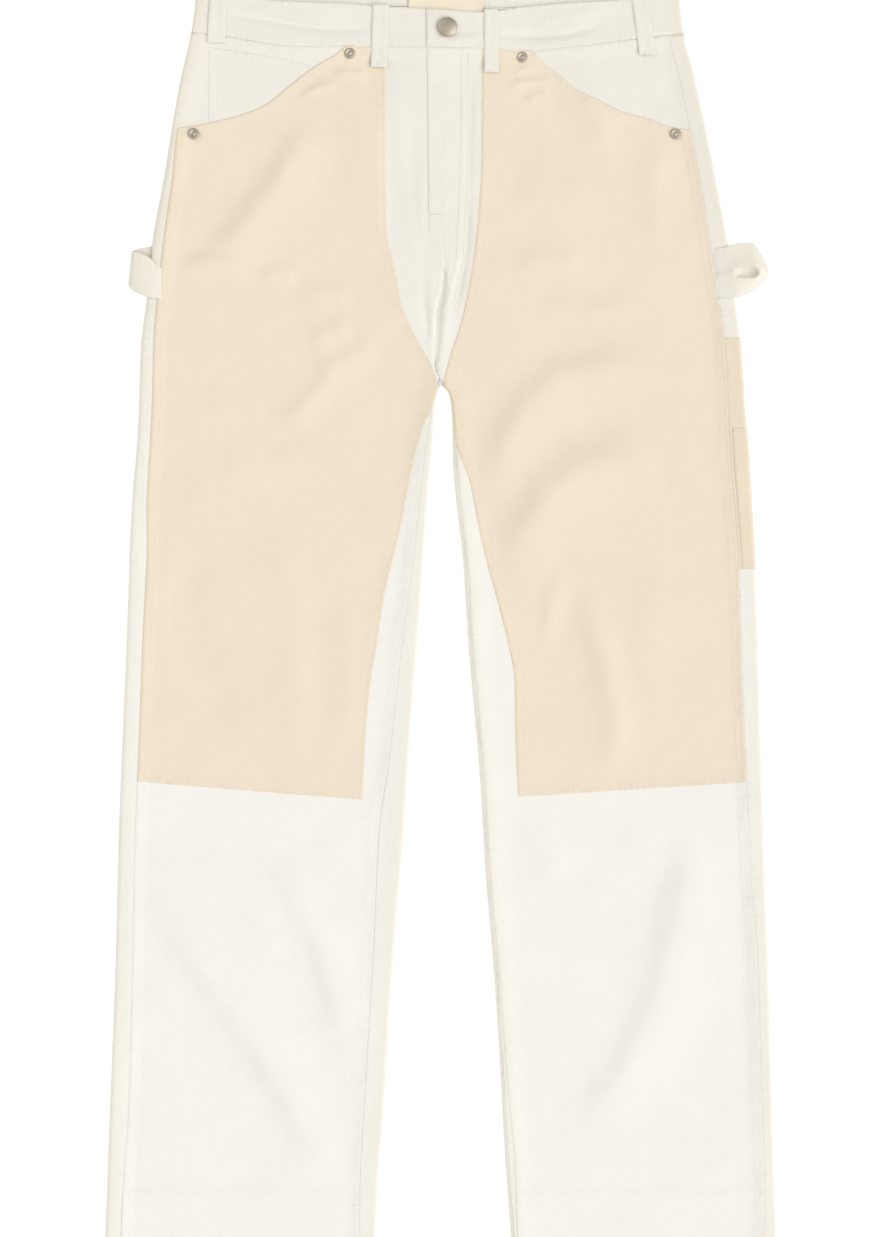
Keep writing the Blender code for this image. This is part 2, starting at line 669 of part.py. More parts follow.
def edge_patch(name, side, span, layer, seam_inset, material, rows):
    """A pocket that comes round the side edge of the leg: layer counts the pockets under it."""
    low, high = span
    outside, inside = [], []
    sign = SIDES[side]
    offset = SEAM + layer * (PATCH + SEAM)
    for step in range(rows):
        up = low + (high - low) * step / (rows - 1)
        outer = section(side, up, "outer")
        line_out, line_in = [], []
        start = side_seam(side, up) + seam_inset
        end = outer - EDGE_RADIUS
        for share in (0.0, 0.5):
            out = start + (end - start) * share
            height = front_height(side, out, up) + offset
            line_out.append((sign * out, up, height + PATCH))
            line_in.append((sign * out, up, height))
        for angle in POCKET_TURN:
            turn = math.radians(angle)
            for line, radius in ((line_out, EDGE_RADIUS + offset + PATCH),
                                 (line_in, EDGE_RADIUS + offset)):
                line.append((sign * (end + radius * math.cos(turn)), up,
                             EDGE_RADIUS + radius * math.sin(turn)))
        outside.append(line_out)
        inside.append(line_in)
    wall(name, outside, inside, material)


def turned(name, profile, x, up, z, material, steps=20):
    """A round piece turned from a profile of (radius, height), on the cloth at (x, up, z)."""
    bm = bmesh.new()
    points = [bm.verts.new((radius * MM, 0.0, height * MM)) for radius, height in profile]
    edges = [bm.edges.new(pair) for pair in zip(points, points[1:])]
    bmesh.ops.spin(bm, geom=points + edges, axis=(0, 0, 1), cent=(0, 0, 0),
                   angle=2 * math.pi, steps=steps, use_merge=True)
    bmesh.ops.remove_doubles(bm, verts=bm.verts, dist=0.00001)
    bmesh.ops.translate(bm, verts=bm.verts, vec=place(x, up, z))
    return make_object(name, bm, material)


def build_button(steel):
    half = BUTTON_DIAMETER / 2
    profile = ((0, 0), (4.0, 0), (4.0, 1.0), (half - 0.6, 1.2), (half, 2.0), (half - 0.3, 2.9),
               (half - 1.8, 3.5), (half - 2.8, 3.1), (0, 3.3))
    turned("button", profile, *BUTTON_PLACE, BAND_TOP + LAP_LIFT + 0.1, steel)


# Rivets: name, x, height above the hem, side.
RIVETS = (("rivet_left_side", -219.0, 984.0, "left"), ("rivet_left_waist", -80.8, 1055.5, "left"),
          ("rivet_right_waist", 72.0, 1052.0, "right"), ("rivet_right_side", 207.8, 984.0, "right"))


def build_rivets(steel):
    half = RIVET_DIAMETER / 2
    profile = ((0, 0), (half, 0), (half, 0.5), (half - 0.9, 1.3), (half - 2.2, 1.3),
               (half - 2.8, 0.8), (1.2, 0.9), (0, 1.3))
    for name, x, up, side in RIVETS:
        level = max(front_height(side, abs(x) + reach, up) for reach in (-half, 0, half))
        turned(name, profile, x, up, level + PATCH + 3 * SEAM, steel, steps=16)


def build_label(cloth):
    grid = [[(x, up, BAND_THICKNESS + SEAM + PATCH) for x in LABEL_X] for up in LABEL_UP]
    wall("label", grid, lowered(grid, PATCH), cloth)


def main():
    clear_scene()
    cream = plain_material("cream_canvas", CREAM_COLOUR, 0.9)
    beige = plain_material("beige_canvas", BEIGE_COLOUR, 0.9)
    woven = plain_material("label_cloth", LABEL_COLOUR, 0.8)
    steel = plain_material("antique_metal", METAL_COLOUR, 0.35, 1.0)
    for side in SIDES:
        build_back(side, cream)
        build_front(side, cream, beige)
        build_facing(side, cream)
        build_waistband(side, cream)
    build_coin_pocket(cream)
    build_fly(cream)
    build_belt_loops(cream)
    build_hammer_loops(cream)
    edge_patch("tool_pocket_back", "right", TOOL_POCKET_BACK, 0, 0.3, beige, rows=10)
    edge_patch("tool_pocket_front", "right", TOOL_POCKET_FRONT, 1, 3.0, beige, rows=7)
    edge_patch("side_pocket", "left", SIDE_POCKET, 0, 3.5, cream, rows=9)
    build_label(woven)
    build_button(steel)
    build_rivets(steel)


main()
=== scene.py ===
"""Looks of canvas trousers laid flat: cloth shells, sewing, metal pieces and the stage."""
import math

import bmesh
import bpy
import numpy as np
from mathutils import Matrix, Vector

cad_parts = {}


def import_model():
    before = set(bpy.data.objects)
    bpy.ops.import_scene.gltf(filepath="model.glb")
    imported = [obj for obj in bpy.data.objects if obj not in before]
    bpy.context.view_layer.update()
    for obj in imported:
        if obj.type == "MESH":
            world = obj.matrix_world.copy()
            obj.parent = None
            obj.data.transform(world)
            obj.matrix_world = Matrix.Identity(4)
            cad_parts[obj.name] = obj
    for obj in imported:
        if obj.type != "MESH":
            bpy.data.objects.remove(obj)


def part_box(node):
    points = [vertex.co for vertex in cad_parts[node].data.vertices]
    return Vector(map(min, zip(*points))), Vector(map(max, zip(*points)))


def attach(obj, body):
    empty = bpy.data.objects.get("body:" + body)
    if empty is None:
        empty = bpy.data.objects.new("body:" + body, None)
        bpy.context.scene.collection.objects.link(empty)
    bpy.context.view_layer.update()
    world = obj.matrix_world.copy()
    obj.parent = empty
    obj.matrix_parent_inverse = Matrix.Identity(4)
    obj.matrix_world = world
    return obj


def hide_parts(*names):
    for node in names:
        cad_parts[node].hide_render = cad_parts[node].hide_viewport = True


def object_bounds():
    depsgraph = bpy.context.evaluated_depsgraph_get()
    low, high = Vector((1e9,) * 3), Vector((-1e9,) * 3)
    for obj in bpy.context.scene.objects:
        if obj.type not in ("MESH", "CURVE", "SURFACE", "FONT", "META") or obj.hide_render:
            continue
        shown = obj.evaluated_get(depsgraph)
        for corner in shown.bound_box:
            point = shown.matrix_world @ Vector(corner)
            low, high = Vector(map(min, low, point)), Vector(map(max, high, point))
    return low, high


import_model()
CAD_LOW, CAD_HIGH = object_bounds()

bl_info = {
    "name": "Canvas trousers",
    "version": (1, 0, 0),
    "blender": (4, 5, 0),
    "location": "View3D > Sidebar > Trousers",
    "description": "Builds laid canvas trousers with a beige double front",
    "category": "Object",
}

MM = 0.001

# Sizes in millimetres: up is the height above the hem, out the distance from the centre line.
OVERALL = (CAD_HIGH.y - CAD_LOW.y) / MM
INSEAM = 762.0
HEM_DEPTH = 46.0
HEM_BLEND = 2.5
HEM_ROLL = (1.0, 1.2)
CLOTH = 1.1
PATCH = 0.9
SEAM = 0.3
TUCK = 0.3
BAND_TUCK = 1.2
EDGE_RADIUS = 3.15
LAY = 4.2
LOWEST = 2.3
EDGE_REACH = 26.0
BAND_THICKNESS = 2.2
BAND_TOP = 2 * EDGE_RADIUS
BAND_FRONT_END = 0.6
BAND_SIDE_END = 0.72
LAP_LIFT = 1.6
LAP_SINK = 1.0
LAP_END = 2.0
LAP_REACH = 26.0
LAP_START = -13.3
FLY_LIFT = 0.8
FLY_SUNK = -0.35
FLY_OVER = 0.35
FACING_SUNK = 0.4
FACING_TUCK = 12.0
COIN_POCKET_LIFT = 0.35
WAIST_ROOM = 0.8
SETTLE = 10
FELL_WIDTH = 8.5
FELL_LIFT = 0.22
HEM_LIFT = 0.3
KNEE_PUFF = 0.35
BACK_CROTCH = 0.7
WAIST_LEVEL = 6.0
WAIST_RISE_REACH = 16.0
KNEE_RISE = 0.45
KNEE_ROLL = 0.45
KNEE_LOW = 402
PUCKER_STEP = 4.4
CROTCH_SLOT = 2.6
CROTCH_SLOT_WIDTH = 1.3
CROTCH_SLOT_UP = (772, 800, 848, 876)
# Painted shade near each leg's outline: how far in it reaches, and the colour it multiplies by.
RIM_REACH = 20.0
RIM_PAINTED_SHADE = (0.97, 0.965, 0.93)
MOTTLE = 0.03
WAVE_SCALE = 0.314
FACING_SHARE = 9 / 11
STITCH_BLOCK = 48
ROW_STEP = 2.0
MOUTH_ROWS = (2.0, 8.0)
KNEE_ROWS = (2.0, 8.2)
PATCH_ROWS = (2.0, 7.5)
FLY_ROWS = (2.5, 8.5)
SEAM_ROWS = {"left": PATCH_ROWS[:1], "right": PATCH_ROWS}
FLY_BAR_X = (-8.0, 2.7)
FLY_BAR_UP = 912.0
SIDE_BARS = (1023.0, 1015.0, 997.3)
COIN_POCKET_X = (-206.5, -113.5)
COIN_POCKET_TOP = (1061.5, 1055.0, 1050.5, 1044.5)
COIN_POCKET_KEYS = (0, 0.45, 0.75, 1)
LAYER_STEP = 0.4
LOOP_CLOTH = 1.6
LOOP_CREST = 0.66
LOOP_EYE_X = (245.0, 279.0)
LOOP_EYE_UP = 859.5
LOOP_EYE_DEPTH = 8.0
LOOP_SLIT = (258.0, 268.0)
LABEL_X = (-29.3, 38.2)
LABEL_UP = (1089.5, 1129.0)
LABEL_TOP = BAND_THICKNESS + SEAM + PATCH
TOOL_POCKET_BACK = (598.5, 803.5)
TOOL_POCKET_FRONT = (598.5, 723.5)
SIDE_POCKET = (606.0, 802.5)

# The camera looks straight down; its height makes the photo's frame 1098.5 mm tall.
CAMERA_X = 0.0009
CAMERA_Y = -0.0129
CAMERA_HEIGHT = 2.594
FLOOR_HALF = 6.0
FLOOR_DROP = 0.0006
HIP = 850.0
WAIST = 1061.0
NARROWEST = 0.8
FAR = 99.0
LEAST_STRIP = EDGE_RADIUS + 0.6
SIDES = {"left": -1, "right": 1}

SECTION_COLUMNS = ("up", "outer", "inner", "side_strip", "inner_strip")
SECTIONS = {
    "left": (
        (0, 298, 58, 14, 15), (57, 296, 55, 14.5, 17), (122, 293.5, 50, 16.5, 18.5),
        (251, 288.6, 41.7, 15, 19), (367, 285.7, 32.2, 14.5, 23), (429, 283.3, 28.4, 15, 18),
        (535, 278.8, 20.4, 14.5, 14), (606, 276.2, 15.1, 15.5, 10), (660, 273.5, 11.5, 13, 8),
        (713, 269, 7.1, 11.5, 6), (749, 267.3, 4.4, 11.5, 4), (762, 267, 0.3, 11.5, 4),
        (802, 265.5, 0.3, 11, 4), (837, 261, 0.3, 9.5, 4), (890, 255.7, 0.3, 10, 4),
        (944, 246, 0.3, 8, 4), (988, 238.9, 0.3, 5.5, 4), (1033, 230.9, 0.3, 6, 4),
        (1077, 221, 0.3, 6, 4), (1111, 216.7, 0.3, 6, 4),
    ),
    "right": (
        (0, 298, 62.5, 12, 5.5), (78, 295.5, 56.8, 9.5, 8), (160, 292.9, 52.2, 10, 5),
        (251, 290.4, 46.2, 10, 4.5), (321, 287.7, 40, 13, 4), (411, 285, 34.6, 14.5, 4),
        (535, 281.5, 24, 16, 4), (606, 278.4, 19.5, 15, 4), (660, 275.3, 13.3, 16, 4),
        (695, 273.5, 10.5, 17, 4), (731, 270.4, 9.8, 15.5, 4), (749, 269, 8, 15, 4),
        (757, 268.7, 5.3, 14.7, 4), (762, 268.4, 0.3, 14.5, 4), (802, 265.5, 0.3, 14.5, 4),
        (837, 261, 0.3, 15, 4), (890, 254, 0.3, 16, 4), (944, 244.2, 0.3, 15, 4),
        (988, 235.3, 0.3, 14.5, 4), (1033, 225.6, 0.3, 14, 4), (1077, 214.9, 0.3, 14, 4),
        (1111, 211.8, 0.3, 14, 4),
    ),
}

KNEE_EDGE = {
    "left": ((0, 112), (394, 70), (464, 65.7), (500, 62), (535, 56), (571, 50.6), (606, 42.6),
             (642, 33.7), (677, 27.5), (713, 18.6), (731, 12.4), (749, 5.3), (762, 2.6),
             (768, 4.4), (773, 5.6), (789, 13.3), (805, 23), (830, 33.7), (868, 41.7), (899, 48),
             (951, 48.8), (1061, 48.8)),
    "right": ((0, 112), (396, 68.4), (464, 65.5), (500, 65), (535, 58.6), (571, 49.7), (606, 40),
              (642, 32), (677, 25), (695, 17.8), (713, 12.4), (731, 10.6), (749, 8.8), (757, 6.1),
              (762, 1.6), (768, 2.4), (773, 4), (788, 8),
              (815, 16.9), (846, 24), (878, 29.3), (914, 32.9), (951, 35.5), (1061, 36.4)),
}
KNEE_BOTTOM = {"left": (410.0, 394.0), "right": (409.4, 396.5)}

MOUTH = {
    "left": ((48.8, 1064), (60, 1064), (81.7, 1062.5), (93.2, 1055), (114.6, 1042.5),
             (135.9, 1025.6), (155.4, 1010.5), (173.2, 1002.6), (192.7, 997.2), (212.2, 992.8),
             (240, 988)),
    "right": ((36.4, 1063), (50.6, 1063), (78.1, 1058.5), (94.1, 1045), (105.7, 1036),
              (123.4, 1022), (137.6, 1015.4), (162.5, 1003.4), (183.8, 998), (201.6, 991),
              (225, 987)),
}

BAND_COLUMNS = ("x", "front_seam", "front_top", "back_seam", "back_top")
BAND = (
    (-222, 1074.5, 1111.0, 1074.5, 1111.0), (-190, 1070.5, 1106.0, 1080.0, 1116.0),
    (-161, 1065.5, 1103.0, 1086.0, 1121.5), (-125, 1061.5, 1101.0, 1091.5, 1127.5),
    (-85, 1062.0, 1099.7, 1095.5, 1132.0), (-61, 1061.5, 1097.5, 1097.0, 1133.5),
    (-13, 1061.2, 1095.0, 1098.0, 1135.0), (6, 1061.0, 1094.0, 1098.0, 1135.0),
    (35, 1060.0, 1092.0, 1097.5, 1134.0), (74, 1057.5, 1096.5, 1096.0, 1132.0),
    (119, 1061.5, 1100.5, 1092.0, 1128.0), (166, 1067.5, 1103.0, 1086.0, 1121.5),
    (190, 1070.5, 1107.0, 1080.0, 1116.0), (218, 1073.5, 1109.5, 1073.5, 1109.5),
)

CENTRE = ((0, 0), (762, 0), (780, -5), (798, -3.5), (826, -2.5), (846, 2), (868, 3.5),
          (900, 1), (1061, 0))

FLY = ((827, 8, 12.4), (841, 6.8, 15.5), (855, 5.3, 17.8), (862, 3.5, 20.2), (876, -9.8, 22.6),
       (900, -10.4, 23.8), (920, -10.8, 24.9), (997, -11.7, 27), (1061.6, -12.4, 27))

# Folds of the fronts: side, rise (a trough is negative), half width on the left and on the
# right of the line as it is walked, then the line.
FOLDS = (
    ("left", 6.45, 27, 16, ((-262, 330), (-227, 265), (-189, 218), (-152, 165), (-110, 86),
                           (-93, 48))),
    ("left", 3.99, 19, 12, ((-161, 359), (-132, 313), (-108, 269), (-92, 217), (-83, 160))),
    ("left", 1.54, 20, 14, ((-170, 330), (-160, 290), (-140, 250))),
    ("left", -1.23, 14, 14, ((-248, 300), (-232, 262), (-212, 225))),
    ("right", 5.12, 17, 30, ((112, 80), (135, 110), (165, 152), (192, 213), (206, 262), (218, 320),
                            (230, 392))),
    ("right", 1.41, 14, 12, ((80, 372), (94, 345), (108, 320))),
    ("right", 7.26, 19, 25, ((62, 580), (77, 633), (98, 666), (126, 688), (158, 695), (200, 692))),
    ("right", 4.49, 12, 14, ((126, 585), (146, 518), (156, 464), (150, 415))),
    ("right", 2.25, 7, 10, ((91, 530), (99, 575), (108, 602))),
    ("right", 2.07, 18, 18, ((190, 600), (184, 540), (192, 470))),
    ("left", -2.6, 16, 14, ((-215, 625), (-232, 571), (-227, 527), (-183, 451))),
    ("left", 2.42, 16, 20, ((-150, 640), (-130, 560), (-124, 480), (-132, 420))),
    ("left", 2.07, 14, 18, ((-90, 560), (-84, 500), (-86, 440))),
    ("left", 5.53, 15, 22, ((-212, 862), (-178, 895), (-143, 940), (-104, 1008))),
    ("left", 2.42, 10, 30, ((-60, 1010), (-58, 940), (-56, 880))),
    ("left", 2.76, 7, 9, ((-232, 868), (-195, 870), (-168, 865))),
    ("left", 2.25, 6, 8, ((-162, 856), (-144, 862), (-126, 858))),
    ("left", 2.25, 6, 8, ((-126, 840), (-98, 845), (-78, 841))),
    ("left", 3.11, 7, 10, ((-118, 802), (-98, 808), (-78, 816))),
    ("left", 3.11, 9, 14, ((-112, 772), (-82, 784), (-54, 806))),
    ("left", 2.6, 9, 12, ((-140, 724), (-115, 748), (-92, 778))),
    ("left", 1.73, 12, 14, ((-215, 745), (-180, 740), (-150, 748))),
    ("left", 1.91, 12, 14, ((-200, 694), (-160, 688), (-110, 700))),
    ("right", 5.88, 15, 20, ((36, 655), (56, 705), (77, 742), (106, 768), (150, 777), (200, 774))),
    ("right", 2.42, 9, 10, ((84, 728), (104, 741), (130, 740))),
    ("right", 2.25, 8, 12, ((62, 868), (100, 876), (130, 870))),
    ("right", 2.07, 8, 12, ((88, 832), (130, 828), (180, 834))),
    ("right", 2.42, 12, 14, ((122, 1022), (140, 1000), (150, 965))),
    ("right", 2.6, 14, 14, ((196, 985), (188, 930), (200, 880))),
    ("right", 2.07, 16, 20, ((66, 940), (100, 930), (140, 935))),
    ("right", 2.07, 4, 5, ((57, 1024), (72, 1030), (92, 1031), (104, 1034))),
    ("right", 1.73, 4, 5, ((74, 1013), (86, 1018), (98, 1020))),
    ("right", 1.56, 3.5, 4, ((64, 1038), (78, 1043), (90, 1042))),
    ("left", 2.07, 4, 5, ((-98, 1038), (-80, 1038), (-62, 1037))),
    ("left", 1.91, 4, 5, ((-126, 1017), (-108, 1025), (-90, 1028))),
    ("left", 1.38, 3.5, 4, ((-84, 1050), (-76, 1049))),
)

# Creases of the waistband, the fly and the crotch, as the folds above.
CROTCH_LINE = ((3.5, 868), (2, 846), (-2.5, 826), (-3.5, 798), (-5, 780), (-1, 764))
BAND_LINE = ((-190, 1091), (-145, 1085), (-120, 1080), (-89, 1077), (-60, 1078))
BAND_FOLDS = (
    ("left", -2.2, 3, 5, BAND_LINE),
    ("left", -1.2, 1.4, 2.2, BAND_LINE),
    ("right", -1.0, 1.4, 2, ((48, 1072), (88, 1071), (112, 1073), (128, 1077))),
    ("left", 1.2, 5, 5, ((-175, 1095), (-140, 1091), (-100, 1087))),
    ("right", -1.8, 3, 4, ((48, 1072), (88, 1071), (112, 1073), (128, 1077), (148, 1082))),
    ("right", -1.2, 2.5, 3, ((-10, 1073), (34, 1074))),
    ("right", 1.1, 6, 6, ((150, 1094), (110, 1087), (80, 1085))),
)
CROTCH_FOLDS = (
    ("left", -2.2, 1.8, 2.6, CROTCH_LINE),
    ("right", -2.2, 2.6, 1.8, CROTCH_LINE),
    ("right", -1.2, 2, 3.5, ((27, 1040), (26.5, 997), (24.5, 920))),
    ("right", -1.9, 2.5, 4.5, ((25, 930), (23, 884), (18, 855), (13, 826))),
    ("right", 1.5, 4, 4, ((9, 868), (5.5, 830), (2, 790))),
    ("right", 0.35, 4, 4, ((2, 1049), (10, 1050))),
    ("right", 0.4, 4, 4, ((1, 1005), (9, 1006))),
    ("right", 0.35, 4, 4, ((0, 970), (8, 971))),
    ("right", 0.4, 4, 4, ((0, 946), (8, 947))),
    ("right", 0.35, 4, 4, ((0, 920), (8, 921))),
    ("right", 0.4, 5, 4, ((0, 892), (9, 893))),
    ("left", 0.9, 5, 6, ((-6, 880), (-9, 840), (-10, 795))),
    ("left", -1.8, 3.5, 3, ((-17, 850), (-13, 820), (-11, 800))),
    ("left", 0.7, 7, 8, ((-38, 1050), (-36, 970), (-27, 900), (-18, 850))),
    ("left", -0.45, 4, 5, ((-25, 1010), (-25, 940), (-20, 880))),
    ("left", 0.5, 4, 5, ((-17, 960), (-18, 920), (-17, 880))),
)


def smooth_read(keys, values, at):
    """Monotone cubic through a table, which keeps straight stretches straight."""
    keys, values = np.asarray(keys, float), np.asarray(values, float)
    at = np.clip(np.asarray(at, float), keys[0], keys[-1])
    step = np.diff(keys)
    slope = np.diff(values) / step
    tangent = np.zeros_like(keys)
    tangent[0], tangent[-1] = slope[0], slope[-1]
    same = slope[:-1] * slope[1:] > 0
    mean = 2 * slope[:-1] * slope[1:] / np.where(same, slope[:-1] + slope[1:], 1)
    tangent[1:-1] = np.where(same, mean, 0)
    index = np.clip(np.searchsorted(keys, at, side="right") - 1, 0, len(step) - 1)
    t = (at - keys[index]) / step[index]
    first, last = values[index], values[index + 1]
    rise = tangent[index] * step[index], tangent[index + 1] * step[index]
    return ((2 * t ** 3 - 3 * t ** 2 + 1) * first + (t ** 3 - 2 * t ** 2 + t) * rise[0]
            + (3 * t ** 2 - 2 * t ** 3) * last + (t ** 3 - t ** 2) * rise[1])


def table_read(table, index, at):
    return smooth_read([row[0] for row in table], [row[index] for row in table], at)


def section(side, up, wanted):
    """Distance from the centre line to a line of a leg, at a height."""
    return table_read(SECTIONS[side], SECTION_COLUMNS.index(wanted), up)


def band(x, wanted):
    """Height of a seam or an edge of the waistband, at x."""
    return table_read(BAND, BAND_COLUMNS.index(wanted), x)


def mouth(side, out):
    """Height of the pocket mouth, at a distance from the centre line."""
    return smooth_read(*zip(*MOUTH[side]), out)


def ease(low, high, value):
    share = np.clip((value - low) / (high - low), 0.0, 1.0)
    return share * share * (3.0 - 2.0 * share)


def side_seam(side, up):
    return section(side, up, "outer") - np.maximum(section(side, up, "side_strip"), LEAST_STRIP)


def inner_seam(side, up):
    below = section(side, up, "inner") + np.maximum(section(side, up, "inner_strip"), LEAST_STRIP)
    return np.where(np.asarray(up) > INSEAM, SIDES[side] * table_read(CENTRE, 1, up), below)


def knee_edge(side, up):
    above = SIDES[side] * table_read(CENTRE, 1, up) + NARROWEST
    least = np.where(np.asarray(up) > INSEAM, above, section(side, up, "inner") + NARROWEST)
    return np.maximum(table_read(KNEE_EDGE[side], 1, up), least)


def nearest_of(*distances):
    return np.minimum.reduce(np.broadcast_arrays(*distances))


def edge_fall(side, out, up):
    """How far the folded inner edge of a leg rounds down below the front."""
    inside = out - section(side, up, "inner") + np.maximum(0.0, np.asarray(up) - INSEAM)
    lean = EDGE_RADIUS - np.clip(inside, 0, EDGE_RADIUS)
    return EDGE_RADIUS - np.sqrt(EDGE_RADIUS ** 2 - lean ** 2)


def fold_rise(folds, side, x, up):
    """Sum of the folds of one side: each a soft ridge or trough with its own two flanks."""
    total = np.zeros_like(x)
    for fold_side, rise, left_width, right_width, line in folds:
        if fold_side != side:
            continue
        nearest = np.full_like(x, 1e9)
        signed = np.zeros_like(x)
        along = np.zeros_like(x)
        lengths = [math.dist(a, b) for a, b in zip(line, line[1:])]
        walked = 0.0
        for (x0, up0), (x1, up1), length in zip(line, line[1:], lengths):
            run, lift = (x1 - x0) / length, (up1 - up0) / length
            reach = np.clip((x - x0) * run + (up - up0) * lift, 0, length)
            gap_x, gap_up = x - x0 - reach * run, up - up0 - reach * lift
            gap = np.hypot(gap_x, gap_up)
            closer = gap < nearest
            nearest = np.where(closer, gap, nearest)
            signed = np.where(closer, run * gap_up - lift * gap_x, signed)
            along = np.where(closer, walked + reach, along)
            walked += length
        width = np.where(signed > 0, left_width, right_width)
        total_length = sum(lengths)
        fade = ease(-0.05 * total_length, 0.3 * total_length, along)
        fade = fade * ease(-0.05 * total_length, 0.3 * total_length, total_length - along)
        total += rise * fade * np.exp(-(nearest / width) ** 2)
    return total


def ripple(x, up, size=1.0, seed=3):
    """Soft unevenness of laid cloth: a few long waves in seeded directions."""
    random = np.random.default_rng(seed)
    total = np.zeros_like(x)
    for wavelength, height in ((95, 0.22), (63, 0.16), (41, 0.1), (27, 0.05), (19, 0.03)):
        for _ in range(3):
            turn, phase = random.uniform(0, math.pi), random.uniform(0, 2 * math.pi)
            wave = (x * math.cos(turn) + up * math.sin(turn)) * 2 * math.pi / wavelength + phase
            total += height * np.sin(wave + 1.3 * np.sin(wave * 0.37 + phase))
    return total * size * 0.8


def front_height(side, out, up):
    """Top of the front panel over the floor."""
    out, up = np.broadcast_arrays(np.asarray(out, float), np.asarray(up, float))
    to_outer = section(side, up, "outer") - out
    to_inner = out - section(side, up, "inner") + np.maximum(0.0, up - INSEAM)
    lift = BAND_TOP - LAY
    clear = ease(EDGE_RADIUS, EDGE_REACH, to_outer)
    clear_inner = ease(EDGE_RADIUS, EDGE_REACH, to_inner)
    height = LAY + lift * (2 - clear - clear_inner)
    x = SIDES[side] * out
    clear = clear * clear_inner * ease(15, 70, up)
    height = height + clear * (fold_rise(FOLDS, side, x, up) + ripple(x, up))
    height = height + fold_rise(CROTCH_FOLDS, side, x, up)
    at_waist = 1 - ease(1.0, WAIST_RISE_REACH, band(x, "front_seam") - up)
    return height + np.maximum(WAIST_LEVEL - height, 0) * at_waist


def world(x, up, z):
    return np.stack([x * MM, (up - OVERALL / 2) * MM, z * MM], axis=-1)


def cloth(name, columns, rows, shape, material, thickness, slot, node, keep=None, offset=-1):
    """A cloth shell: a grid laid by shape(u, v), given its thickness.

    shape returns x, up and z in millimetres, then its distances from the sewn edges that run
    up and from those that run across.
    keep(u, v) says which points stay.
    """
    bm = bmesh.new()
    bmesh.ops.create_grid(bm, x_segments=columns, y_segments=rows, size=0.5)
    flat = np.array([vert.co[:2] for vert in bm.verts]) + 0.5
    x, up, z, upright_edges, level_edges = shape(flat[:, 0], flat[:, 1])
    upright, level = nearest_of(*upright_edges), nearest_of(*level_edges)
    edge, along = np.minimum(upright, level), np.where(upright < level, up, x) / PUCKER_STEP
    tuck = (1 - ease(1.5, 9.0, edge)) * ease(0.5, 4.0, np.abs(upright - level))
    points = world(x, up, z)
    for vert, point in zip(bm.verts, points.tolist()):
        vert.co = point
    bm.normal_update()
    bm.verts.ensure_lookup_table()
    seed = bm.verts[rows // 2 * (columns + 1) + 1].link_faces[0]
    if seed.normal.z < 0:
        bmesh.ops.reverse_faces(bm, faces=bm.faces)
    # The rim attribute masks the painted shade near the outlines.
    for layer_name, values in (("edge", edge), ("along", along), ("tuck", tuck),
                               ("rim", rim_shade_mask(x, up))):
        layer = bm.verts.layers.float.new(layer_name)
        for vert, value in zip(bm.verts, values.tolist()):
            vert[layer] = value
    if keep is not None:
        stays = keep(flat[:, 0], flat[:, 1])
        dropped = [vert for vert, kept in zip(bm.verts, stays) if not kept]
        bmesh.ops.delete(bm, geom=dropped, context="VERTS")
    area = sum(face.calc_area() for face in bm.faces)
    obj = finish(name, bm, material, node)
    solid = obj.modifiers.new("Cloth thickness", "SOLIDIFY")
    solid.thickness = thickness * MM
    solid.offset = offset
    return obj


def rim_shade_mask(x, up):
    """How near a point lies to the outline of its leg: 1 on it, 0 well inside; the mask of the
    painted shade where the cloth rolls away there.
    """
    tone = np.zeros_like(x)
    for side, sign in SIDES.items():
        own = x * sign > 0
        to_outer = section(side, up, "outer") - x * sign
        to_inner = np.where(up < INSEAM, x * sign - section(side, up, "inner"), FAR)
        nearest = nearest_of(to_outer, to_inner)
        tone = np.where(own, 1 - ease(0, RIM_REACH, nearest), tone)
    return tone


def finish(name, bm, material, node=None):
    """Turn a bmesh into an object that rides on the trousers and stands for a node."""
    mesh = bpy.data.meshes.new(name)
    bm.to_mesh(mesh)
    bm.free()
    mesh.materials.append(material)
    mesh.shade_smooth()
    obj = bpy.data.objects.new(name, mesh)
    bpy.context.scene.collection.objects.link(obj)
    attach(obj, "root")
    if node:
        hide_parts(node)
    return obj


def crowd(share, amount=0.85):
    """Bring the rows or columns of a grid closer together at both ends."""
    return share - amount * np.sin(2 * math.pi * share) / (2 * math.pi)


def roll(*distances, drop=0.3, reach=0.7):
    """How far an edge rounds down, from the distances to the edges."""
    return drop * np.exp(-np.maximum(nearest_of(*distances), 0) / reach)


def tucked(distance, drop=0.9, reach=2.6):
    """How far the top of a panel dips where it goes under the waistband."""
    return drop * (1 - ease(0, reach, distance))


def settle_top(side, out_at, shape):
    """Top of each column of a front: the pocket mouth, or the waist seam past it."""
    top = np.full(shape, WAIST)
    for _ in range(SETTLE):
        out = out_at(top)
        seam = band(SIDES[side] * out, "front_seam") + BAND_TUCK
        top = np.minimum(mouth(side, out), seam)
    return top


def felled(distance, width=FELL_WIDTH, lift=FELL_LIFT):
    """The thick strip of a felled seam beside its edge."""
    return lift * (1 - ease(width - 0.7, width + 0.9, distance))


